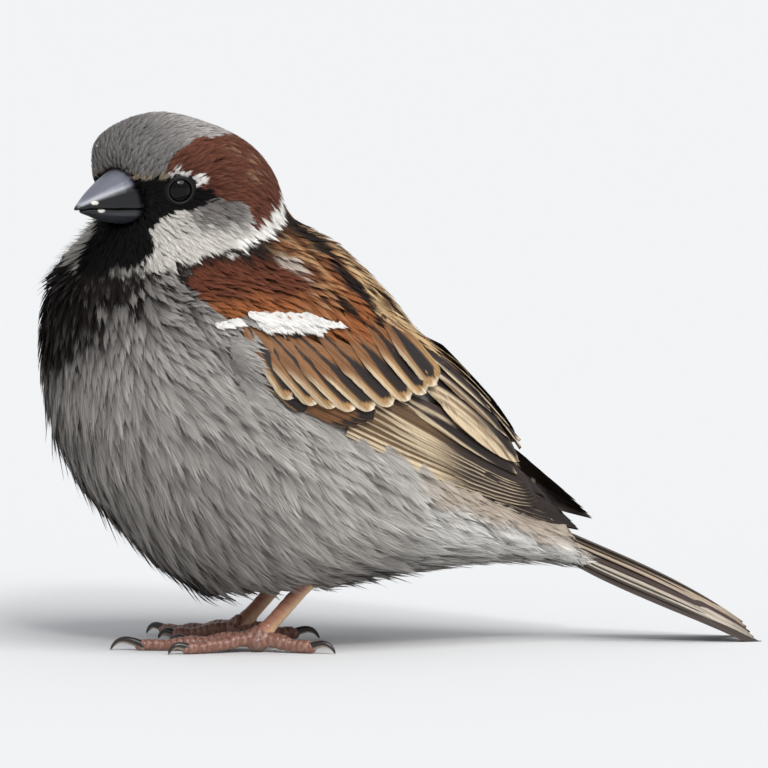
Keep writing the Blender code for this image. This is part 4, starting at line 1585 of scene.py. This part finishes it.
def grid_faces():
    """Triangles of a thin closed sheet: top, bottom and rim."""
    count = COLUMNS * ROWS
    ids = np.arange(count).reshape(ROWS, COLUMNS)
    a, b, c, d = ids[:-1, :-1], ids[:-1, 1:], ids[1:, 1:], ids[1:, :-1]
    top = np.concatenate([np.stack(corners, -1).reshape(-1, 3) for corners in ((a, b, c), (a, c, d))])
    rim = np.concatenate([ids[0, :], ids[1:, -1], ids[-1, -2::-1], ids[-2:0:-1, 0]])
    after = np.roll(rim, -1)
    side = np.concatenate([np.stack([rim, rim + count, after], -1),
                           np.stack([after, rim + count, after + count], -1)])
    return np.concatenate([top, top[:, ::-1] + count, side])


VANE_T, VANE_U = vane_grid()
VANE_FACES = grid_faces()
VANE_PATCH = 0.03  # a big feather's share of the unwrap
BARB_SLANT = 1.5  # millimetres that a barb runs tipwards for each one off the shaft
print("one vane:", len(VANE_FACES), "triangles")


def smooth_depth(chart, flat):
    """Depth of the surface under a vane, smoothed so that the vane stays stiff."""
    run = chart.depth(flat)
    missed = np.isnan(run)
    if missed.any():
        run[missed] = (chart.surface.land(flat[missed]) - flat[missed]) @ chart.drop
    t, u = VANE_T, VANE_U
    terms = np.stack([np.ones_like(t), t, t * t, t ** 3, u, u * u, t * u, t * t * u], axis=-1)
    fit = np.linalg.lstsq(terms.reshape(-1, 8), run.ravel(), rcond=None)[0]
    return terms @ fit


def web_width(low_web, high_web, shape, rng):
    """Distance from the shaft over the whole vane, positive below it, and the full web there."""
    point, round_from, power = shape
    t, u = VANE_T, VANE_U
    web = np.where(u > 0, low_web, high_web)
    taper = 0.42 + 0.58 * ramp(0.0, 0.45, t)
    beyond = np.clip((t - round_from) / (1 - round_from), 0, 1)
    taper = taper * np.maximum(1 - beyond ** power, 0) ** point
    ragged = 1 + 0.02 * np.interp(t, np.linspace(0, 1, 40), rng.normal(0, 1, 40))
    return u * web * taper * ragged, web


def vane(chart, tip, tilt, length, low_web, high_web, shape, paint, rng, level, sink=0.7,
         roll=0.22, bow=0.0, gather=0.0):
    """One feather over a chart; low_web and high_web are the widths below and above its shaft.

    level lifts it, sink lowers its root, roll raises its lower edge, bow bends it sideways and
    gather brings its tip down.
    """
    t, u = VANE_T, VANE_U
    w, web = web_width(low_web, high_web, shape, rng)
    s = (1 - t) * length
    way = np.array((math.cos(tilt), math.sin(tilt)))
    over = np.array((-way[1], way[0]))
    bend = bow * 4 * t * (1 - t)
    a = tip[0] - s * way[0] + (w + bend) * over[0]
    b = tip[1] - s * way[1] + (w + bend) * over[1]
    if chart.upper_edge:
        b = np.maximum(b, edge(chart.upper_edge, a) + 0.25 + 0.05 * u)
    flat = chart.over(a, b)
    height = level * (1 - gather * ramp(0.35, 1.0, t)) - sink * (1 - t) ** 2.5
    height = height + roll * u * (0.4 + 0.6 * ramp(0, 0.4, t)) - 0.12 * u * u
    height = height + 0.012 * np.sin(40 * w / web + 9 * t)
    points = flat + (smooth_depth(chart, flat) - height)[..., None] * chart.drop
    under = points + (SHEET * (0.4 + 0.6 * (1 - u * u)))[..., None] * chart.drop
    points[..., 2] = np.maximum(points[..., 2], 0.12)
    under[..., 2] = np.maximum(under[..., 2], 0.02)
    along_barb = s + BARB_SLANT * np.abs(w)
    strand = np.interp(along_barb, np.linspace(0, 60, 400), rng.normal(1, 0.05, 400))
    colour = np.clip(paint(s, w, u) * strand[..., None], 0, 1)
    grain = np.stack([along_barb, w, np.full_like(s, rng.uniform(0, 50))], axis=-1)
    root = points[0, COLUMNS // 2]
    unwrapped = unwrap(root) + np.stack([0.5 * u, t - 0.5], axis=-1) * VANE_PATCH
    return (np.concatenate([points.reshape(-1, 3), under.reshape(-1, 3)]),
            np.tile(colour.reshape(-1, 3), (2, 1)),
            np.tile(unwrapped.reshape(-1, 2), (2, 1)),
            np.tile(grain.reshape(-1, 3), (2, 1)))


# %% A piece of vanes
def vane_piece(name, vanes):
    """Joins vanes into one piece."""
    points, colours, unwrapped, grains = (np.concatenate(part) for part in zip(*vanes))
    step = 2 * COLUMNS * ROWS
    faces = np.concatenate([VANE_FACES + step * k for k in range(len(vanes))])
    piece = dressed(name, points, faces, colours, unwrapped, grains)
    print(name, "vanes:", len(vanes), "triangles:", len(faces))
    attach(piece, "root")
    return piece


# %% Painting the wing
# every paint reads s, millimetres from the tip, w, millimetres from the shaft, and u, the share of
# the web from -1 at the upper edge to 1 at the lower one
CREAM_EDGE = light(188, 169, 140)
WARM_BUFF = light(158, 122, 78)
COVERT_BROWN = light(122, 82, 48)
TIP_CREAM = light(206, 190, 166)
QUILL_BROWN = light(58, 46, 40)


def paint_covert(s, w, u):
    body = mix(WARM_BUFF, COVERT_BROWN, ramp(4.0, 10.0, s))
    body = mix(body, CREAM_EDGE, ramp(0.45, 0.95, u) * ramp(11, 7, s))
    drop = 1.15 * ramp(0.9, 2.4, s) * (1 - 0.80 * ramp(4.5, 13.0, s))
    body = mix(body, BLACK_BROWN, ramp(1.15, 0.75, np.abs(w + 0.35) / np.maximum(drop, 0.05)))
    return mix(body, TIP_CREAM, ramp(1.2, 0.5, s + 0.3 * np.abs(w)))


def paint_lesser_primary(s, w, u):
    body = mix(COVERT_BROWN * 0.8, QUILL_BROWN, ramp(0.45, 0.1, u))
    return mix(body, BLACK_BROWN, ramp(3.4, 2.2, s) * ramp(0.96, 0.8, u))


def paint_alula(s, w, u):
    body = mix(QUILL_BROWN, BLACK_BROWN, ramp(5, 2, s))
    return mix(body, WARM_BUFF, ramp(0.72, 0.92, u) * ramp(0.5, 1.5, s))


def paint_tertial(s, w, u):
    streak = np.sin(5.0 * w + 0.10 * s + 0.8 * np.sin(0.5 * s)) + 0.5 * np.sin(2.1 * w - 0.2 * s + 1)
    pale = mix(CREAM_EDGE, COVERT_BROWN * 0.6, 0.8 * ramp(0.15, 0.95, streak))
    centre = 0.22 + 0.85 * ramp(22, 8, s) * ramp(0.25, 3.0, s)
    dark = ramp(1.25, 0.75, np.abs(w + 0.2 * centre) / centre)
    hidden = ramp(-0.35, -0.6, u) * ramp(0.5, 1.5, s)
    body = mix(pale, BLACK_BROWN * 1.15, dark * ramp(0.45, 0.9, s))
    return mix(body, QUILL_BROWN * 1.3, hidden)


def paint_secondary(s, w, u):
    panel = ramp(11, 21, s)
    body = mix(BLACK_BROWN * 1.2, QUILL_BROWN, 0.4)
    body = mix(body, WARM_BUFF * 0.8, 0.35 * panel)
    rim = ramp(0.80, 0.92, u) * ramp(0.4, 2.2, s)
    wide = panel * ramp(0.28, 0.42, u) * ramp(0.62, 0.74, u + 0.5 * panel)
    return mix(body, CREAM_EDGE * 1.04, np.maximum(0.85 * rim, wide))


def paint_primary(s, w, u):
    body = mix(BLACK_BROWN, QUILL_BROWN, 0.35 * ramp(3, 10, s))
    rim = ramp(0.80, 0.92, u) * (0.65 * ramp(2.5, 9, s) + 0.25 * ramp(18, 30, s))
    return mix(body, CREAM_EDGE * 0.9, rim)


# %% Rows of wing feathers
# a shape: how blunt the tip is, where along the feather it starts to narrow, and how suddenly
ROUNDED = (0.5, 0.72, 2.2)
WEDGE = (1.0, 0.70, 1.3)
BLUNT = (0.5, 0.84, 2.2)
LONG = (0.7, 0.5, 2.0)
# a feather: tip along, tip across, tilt in degrees, length, low web, high web, bow
PRIMARIES = [(69.5, -1.9, -2, 36, 1.2, 2.6, 0.2), (73.4, -1.2, -4, 38, 1.2, 2.6, 0.2),
             (76.4, -0.4, -5.5, 40, 1.1, 2.7, 0.3), (77.4, 0.0, -6.5, 40, 1.0, 2.7, 0.5),
             (77.3, 0.2, -7.5, 40, 0.9, 2.7, 0.7)]
SECONDARIES = [(64.4, -1.9, -2.5, 33, 1.3, 2.6, 0.0), (66.0, -1.5, -6, 34, 1.3, 2.6, 0.1),
               (67.2, -0.8, -8.5, 35, 1.3, 2.5, 0.3), (68.4, 0.0, -9.5, 36, 1.3, 2.4, 0.5)]
TERTIALS = [(62.5, -2.5, 1.5, 27, 1.2, 2.4, -0.2), (61.8, -4.5, 9, 22, 3.9, 1.4, -1.7),
            (59.0, -6.9, 9, 20, 1.7, 1.3, -1.3), (55.5, -8.9, 10, 17, 1.3, 1.0, -0.8)]
PRIMARY_COVERTS = [(35.6, 1.7, -7, 15, 1.2, 2.0, 0.0), (34.4, 3.2, -8, 14, 1.2, 2.0, 0.0),
                   (32.6, 4.7, -6, 12, 1.1, 1.8, 0.0)]
ALULA = [(23.0, 5.2, 16, 9.5, 1.2, 1.8, 0.0), (25.0, 6.4, 10, 12.0, 1.3, 2.0, 0.0)]
COVERTS = [(22.2, 5.7, 25, 15, 1.8, 2.3, 0.0), (26.5, 4.2, 17, 16, 1.9, 2.4, 0.0),
           (29.8, 2.8, 14, 17, 1.9, 2.5, 0.0), (33.2, 1.4, 12, 17, 1.9, 2.5, 0.0),
           (36.2, -0.9, 11, 17, 1.9, 2.5, 0.0), (38.8, -3.4, 14, 16, 1.9, 2.5, 0.0),
           (41.2, -5.8, 18, 15, 1.8, 2.4, 0.0), (42.6, -8.2, 20, 14, 1.8, 2.3, 0.0)]


def row_of(chart, rows, count, shape, paint, rng, level, sink=0.7, roll=0.22, stack=0.10):
    """A row of overlapping feathers, from the lowest, outermost one to the innermost on top."""
    made = []
    for k, row in enumerate(spline(rows, np.linspace(0, len(rows) - 1, count))):
        a, b, tilt, length, low_web, high_web, bow = row
        made.append(vane(chart, (a, b), math.radians(tilt), length, low_web, high_web, shape, paint,
                         rng, level + stack * k, sink, roll, bow))
    return made


def wing(side):
    """All big feathers of one wing, the deepest row first."""
    chart = CHARTS[side]
    rng = np.random.default_rng(21 if side == "left" else 22)
    made = row_of(chart, PRIMARIES[::-1], 8, WEDGE, paint_primary, rng,
                  level=-1.15, sink=0.3, roll=0.12, stack=0.05)
    made += row_of(chart, SECONDARIES[::-1], 8, ROUNDED, paint_secondary, rng,
                   level=-0.35, sink=0.3, roll=0.15, stack=0.05)
    made += row_of(chart, PRIMARY_COVERTS[::-1], 4, ROUNDED, paint_lesser_primary, rng, level=0.0)
    made += row_of(chart, ALULA[::-1], 2, ROUNDED, paint_alula, rng, level=0.35)
    made += row_of(chart, TERTIALS, 4, LONG, paint_tertial, rng,
                   level=0.30, sink=1.4, roll=0.25, stack=0.26)
    made += row_of(chart, COVERTS, 9, BLUNT, paint_covert, rng,
                   level=0.55, sink=1.25, roll=0.28, stack=0.05)
    made += back_feathers(side)
    return vane_piece("wing_feathers_" + side, made)


# %% Feathers that close over the back
BACK_SLOPE = math.radians(48.7)
BACK_ORIGIN = (0, 4.7, 49.0)
BACK_ROW = [(22.5, 3.0, 0, 19, 3.0, 2.4, 0.0), (18.5, 2.8, 1, 18, 3.4, 2.5, 0.0),
            (13.5, 2.6, 2, 16, 3.6, 2.6, 0.0), (8.5, 2.5, 4, 13, 3.6, 2.8, 0.0)]
WING_SLOT = 2.8  # half width of the gap between the folded wings


def back_feathers(side):
    """Inner tertials laid from above, so that left and right wing meet over the back."""
    rng = np.random.default_rng(25)
    down_back = (0, math.cos(BACK_SLOPE), -math.sin(BACK_SLOPE))
    drop = (0, -math.sin(BACK_SLOPE), -math.cos(BACK_SLOPE))
    chart = Chart(BACK_ORIGIN, down_back, (SIDES[side], 0, 0), drop, wing_form)
    chart.slot = WING_SLOT
    return row_of(chart, BACK_ROW, 4, LONG, paint_tertial, rng,
                  level=0.0, sink=1.6, roll=0.2, stack=0.18)


VANE_PIECES = []
for side in SIDES:
    piece = wing(side)
    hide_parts("wing_" + side, "wing_tip_" + side)
    VANE_PIECES.append(piece)


# %% Tail
TAIL = node_points("tail")
TAIL_PAIRS = 6
TAIL_ROOT = 9.0  # how far the feathers run on under the rump
TAIL_DARK = light(74, 62, 54)
# The last and darkest strip is painted shade along the tail's lower edge.
TAIL_STRIPS = [light(168, 150, 130), light(160, 143, 124), light(66, 52, 48), light(166, 155, 140),
               light(174, 164, 150), light(62, 52, 48)]  # outer webs, from the middle pair outwards
TAIL_STRIP_WIDTH = 1.2


def tail_paint(k):
    """The paint of one pair of tail feathers."""
    def paint(s, w, u):
        inward = w[:, -1:] - w
        body = mix(TAIL_DARK, TAIL_STRIPS[k], ramp(1.15, 0.95, inward / TAIL_STRIP_WIDTH))
        body = mix(body, TAIL_DARK * 0.8, ramp(7, 0, s) * 0.45)
        body = mix(body, TAIL_DARK * 0.7, ramp(0.16, 0.08, inward) * (k != 2))
        return mix(body, TAIL_DARK * 0.6, ramp(0.50, 0.35, inward) * (k == 4))
    return paint


def tail_chart():
    """The tail's chart down its own slope, and its length."""
    tip = TAIL[TAIL[:, 1] > TAIL[:, 1].max() - 1.5].mean(axis=0)
    base = TAIL[TAIL[:, 1] < TAIL[:, 1].min() + 1.5].mean(axis=0)
    way = unit((tip - base) * (0, 1, 1))
    points, faces = mesh_arrays(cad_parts["tail"].data)
    surface = Surface(points, faces, normals_of(points, faces))
    drop = np.array((0.0, way[2], -way[1]))
    length = np.linalg.norm(tip - base)
    print("tail: base", base.round(1), "tip", tip.round(1), "long", round(length, 1))
    return Chart(base * (0, 1, 1), way, (1.0, 0, 0), drop, surface), length


def tail():
    """Six pairs of feathers, fanned a little, the middle pair on top."""
    rng = np.random.default_rng(31)
    made = []
    chart, length = tail_chart()
    for sign in SIDES.values():
        chart.across = np.array((sign, 0.0, 0.0))
        for k in range(TAIL_PAIRS):
            outward = 0.7 + 0.82 * k
            base_out = 0.4 + 0.34 * k
            full = length + TAIL_ROOT
            tilt = math.atan((outward - base_out) / full)
            reach = length - 3.0 + 0.75 * k
            made.append(vane(chart, (reach, outward), tilt, full, 1.9, 3.2, LONG, tail_paint(k), rng,
                             level=-0.15 - 0.48 * k, sink=0.0, roll=-0.30, gather=0.6))
    return made


tail_piece = vane_piece("tail_feathers", tail())
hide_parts("tail")
VANE_PIECES.append(tail_piece)


# %% [markdown]
# ## Finishes
# Every piece carries its own tints, so one plain material for each kind of surface is enough. The
# vanes add the fine streaks of their barbs: noise read in each feather's own millimetres and drawn
# out along it. Soft plumes scatter light and hardly shine; horn and wet eye do.

# %% Tinted materials
def tinted(name, pieces, **values):
    """A material that shows the tints of its pieces; returns what is needed to add more to it."""
    material, wire, shader = principled(name, **values)
    tint = attribute(wire, "tint")
    plug(tint, shader, "Base Color")
    for piece in pieces:
        piece.data.materials.append(material)
    return wire, shader, tint


tinted("plumage", COAT, Roughness=0.9, Specular_IOR_Level=0.12)
tinted("bill_horn", BILL_PIECES, Roughness=0.3, Specular_IOR_Level=0.4)
tinted("claw_horn", CLAW_PIECES, Roughness=0.28)
eye_finish, wire, shader = principled("eye", Roughness=0.03, IOR=1.38, Specular_IOR_Level=0.30)
shader.inputs["Base Color"].default_value = (0.001, 0.0008, 0.0008, 1)
for piece in EYEBALLS:
    piece.data.materials.append(eye_finish)
print("finishes:", [material.name for material in bpy.data.materials])


# %% Skin with fine grain
# The tint's fourth number is the shine, which turns on a thin clear coat over the legs.
wire, shader, tint = tinted("skin", [skin], Roughness=0.5, Specular_IOR_Level=0.12,
                            Coat_Roughness=0.25)
plug(attribute(wire, "tint", out="Alpha"), shader, "Coat Weight")
place_on_bird = wire.node("ShaderNodeTexCoord", out="Object")
grain = wire.node("ShaderNodeTexNoise", None, {"Vector": place_on_bird, "Scale": 900.0, "Detail": 3.0})
bump = wire.node("ShaderNodeBump", None, {"Height": grain, "Strength": 0.25, "Distance": 0.0002})
plug(bump, shader, "Normal")


# %% Vanes with streaks
def stretched(wire, x, y, z):
    """A place to read noise at, from three numbers."""
    return wire.node("ShaderNodeCombineXYZ", None, {0: x, 1: y, 2: z})


wire, shader, tint = tinted("vane", VANE_PIECES, Roughness=0.62, Specular_IOR_Level=0.3)
grain = attribute(wire, "grain", out="Vector")
barb = wire.node("ShaderNodeSeparateXYZ", None, {0: grain}, out=0)
cross = wire.node("ShaderNodeSeparateXYZ", None, {0: grain}, out=1)
seed = wire.node("ShaderNodeSeparateXYZ", None, {0: grain}, out=2)
lengthwise = stretched(wire, barb * 0.05, cross * 4.5, seed)
streak = wire.node("ShaderNodeTexNoise", None, {"Vector": lengthwise, "Scale": 1.0, "Detail": 2.0})
slanting = stretched(wire, barb * 6.0, cross * 0.5, seed)
fibre = wire.node("ShaderNodeTexNoise", None, {"Vector": slanting, "Scale": 1.0, "Detail": 1.0})
shade = streak.steps(0.38, 0.66, 1.12, 0.62) * fibre.steps(0.3, 0.7, 0.9, 1.1)
shown = wire.node("ShaderNodeVectorMath", {"operation": "SCALE"}, {0: tint, "Scale": shade})
plug(shown, shader, "Base Color")
relief = wire.node("ShaderNodeBump", None, {"Height": fibre, "Strength": 0.3, "Distance": 0.0001})
plug(relief, shader, "Normal")

# %% Coat pieces ride the bird
for piece in COAT:
    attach(piece, "root")
print("coat pieces:", [piece.name for piece in COAT])

# %% [markdown]
# ## Floor, light and camera
# A pale floor and an even pale room, with one broad window high on the bird's left, a little towards
# its tail. A second lamp, small and weak, only puts the bright dot in the eye. The camera looks at
# the bird's left side from far away, so that its shape is not stretched.

# %% Floor
FLOOR_RADIUS = 12.0  # metres, so that its edge is never seen
work = bmesh.new()
bmesh.ops.create_circle(work, cap_ends=True, segments=96, radius=FLOOR_RADIUS)
mesh = bpy.data.meshes.new("floor")
work.to_mesh(mesh)
work.free()
floor = place("floor", mesh)
floor_finish, wire, shader = principled("floor", Roughness=0.9)
shader.inputs["Base Color"].default_value = (*light(214, 214, 214), 1)
floor.data.materials.append(floor_finish)


# %% Light
def sun(name, strength, size, towards):
    """A far lamp; towards points from the bird to the lamp, size is its breadth in degrees."""
    lamp = bpy.data.lights.new(name, "SUN")
    lamp.energy = strength
    lamp.angle = math.radians(size)
    place(name, lamp).rotation_euler = Vector(towards).to_track_quat("Z", "Y").to_euler()


sun("window", 2.5, 46, (0.60, 0.24, 0.77))
sun("catch_light", 0.7, 8, (0.72, 0.02, 0.62))
world = bpy.data.worlds.new("room")
world.use_nodes = True
background = world.node_tree.nodes["Background"]
background.inputs["Color"].default_value = (0.93, 0.96, 1.0, 1)
background.inputs["Strength"].default_value = 0.62
bpy.context.scene.world = world
print("lamps:", [lamp.name for lamp in bpy.data.lights])

# %% Camera
AZIMUTH, ELEVATION = math.radians(82), math.radians(5)
LENS, SENSOR = 800.0, 36.0
VIEW_WIDTH = 0.12387  # metres across the picture
AIM_RIGHT, AIM_UP = -0.00274, 0.04187

right = Vector((math.cos(AZIMUTH), math.sin(AZIMUTH), 0))
level = Vector((math.sin(AZIMUTH), -math.cos(AZIMUTH), 0))
back = level * math.cos(ELEVATION) + Vector((0, 0, math.sin(ELEVATION)))
up = back.cross(right)
camera = bpy.data.cameras.new("camera")
camera.lens = LENS
camera.sensor_width = SENSOR
camera.clip_start = 0.01
camera.clip_end = 100
view = place("camera", camera)
view.matrix_world = Matrix((right, up, back)).transposed().to_4x4()
view.location = right * AIM_RIGHT + up * AIM_UP + back * (VIEW_WIDTH * LENS / SENSOR)
bpy.context.scene.camera = view
bpy.context.scene.view_settings.view_transform = "Standard"
print("the camera stands", round(VIEW_WIDTH * LENS / SENSOR, 2), "metres away")
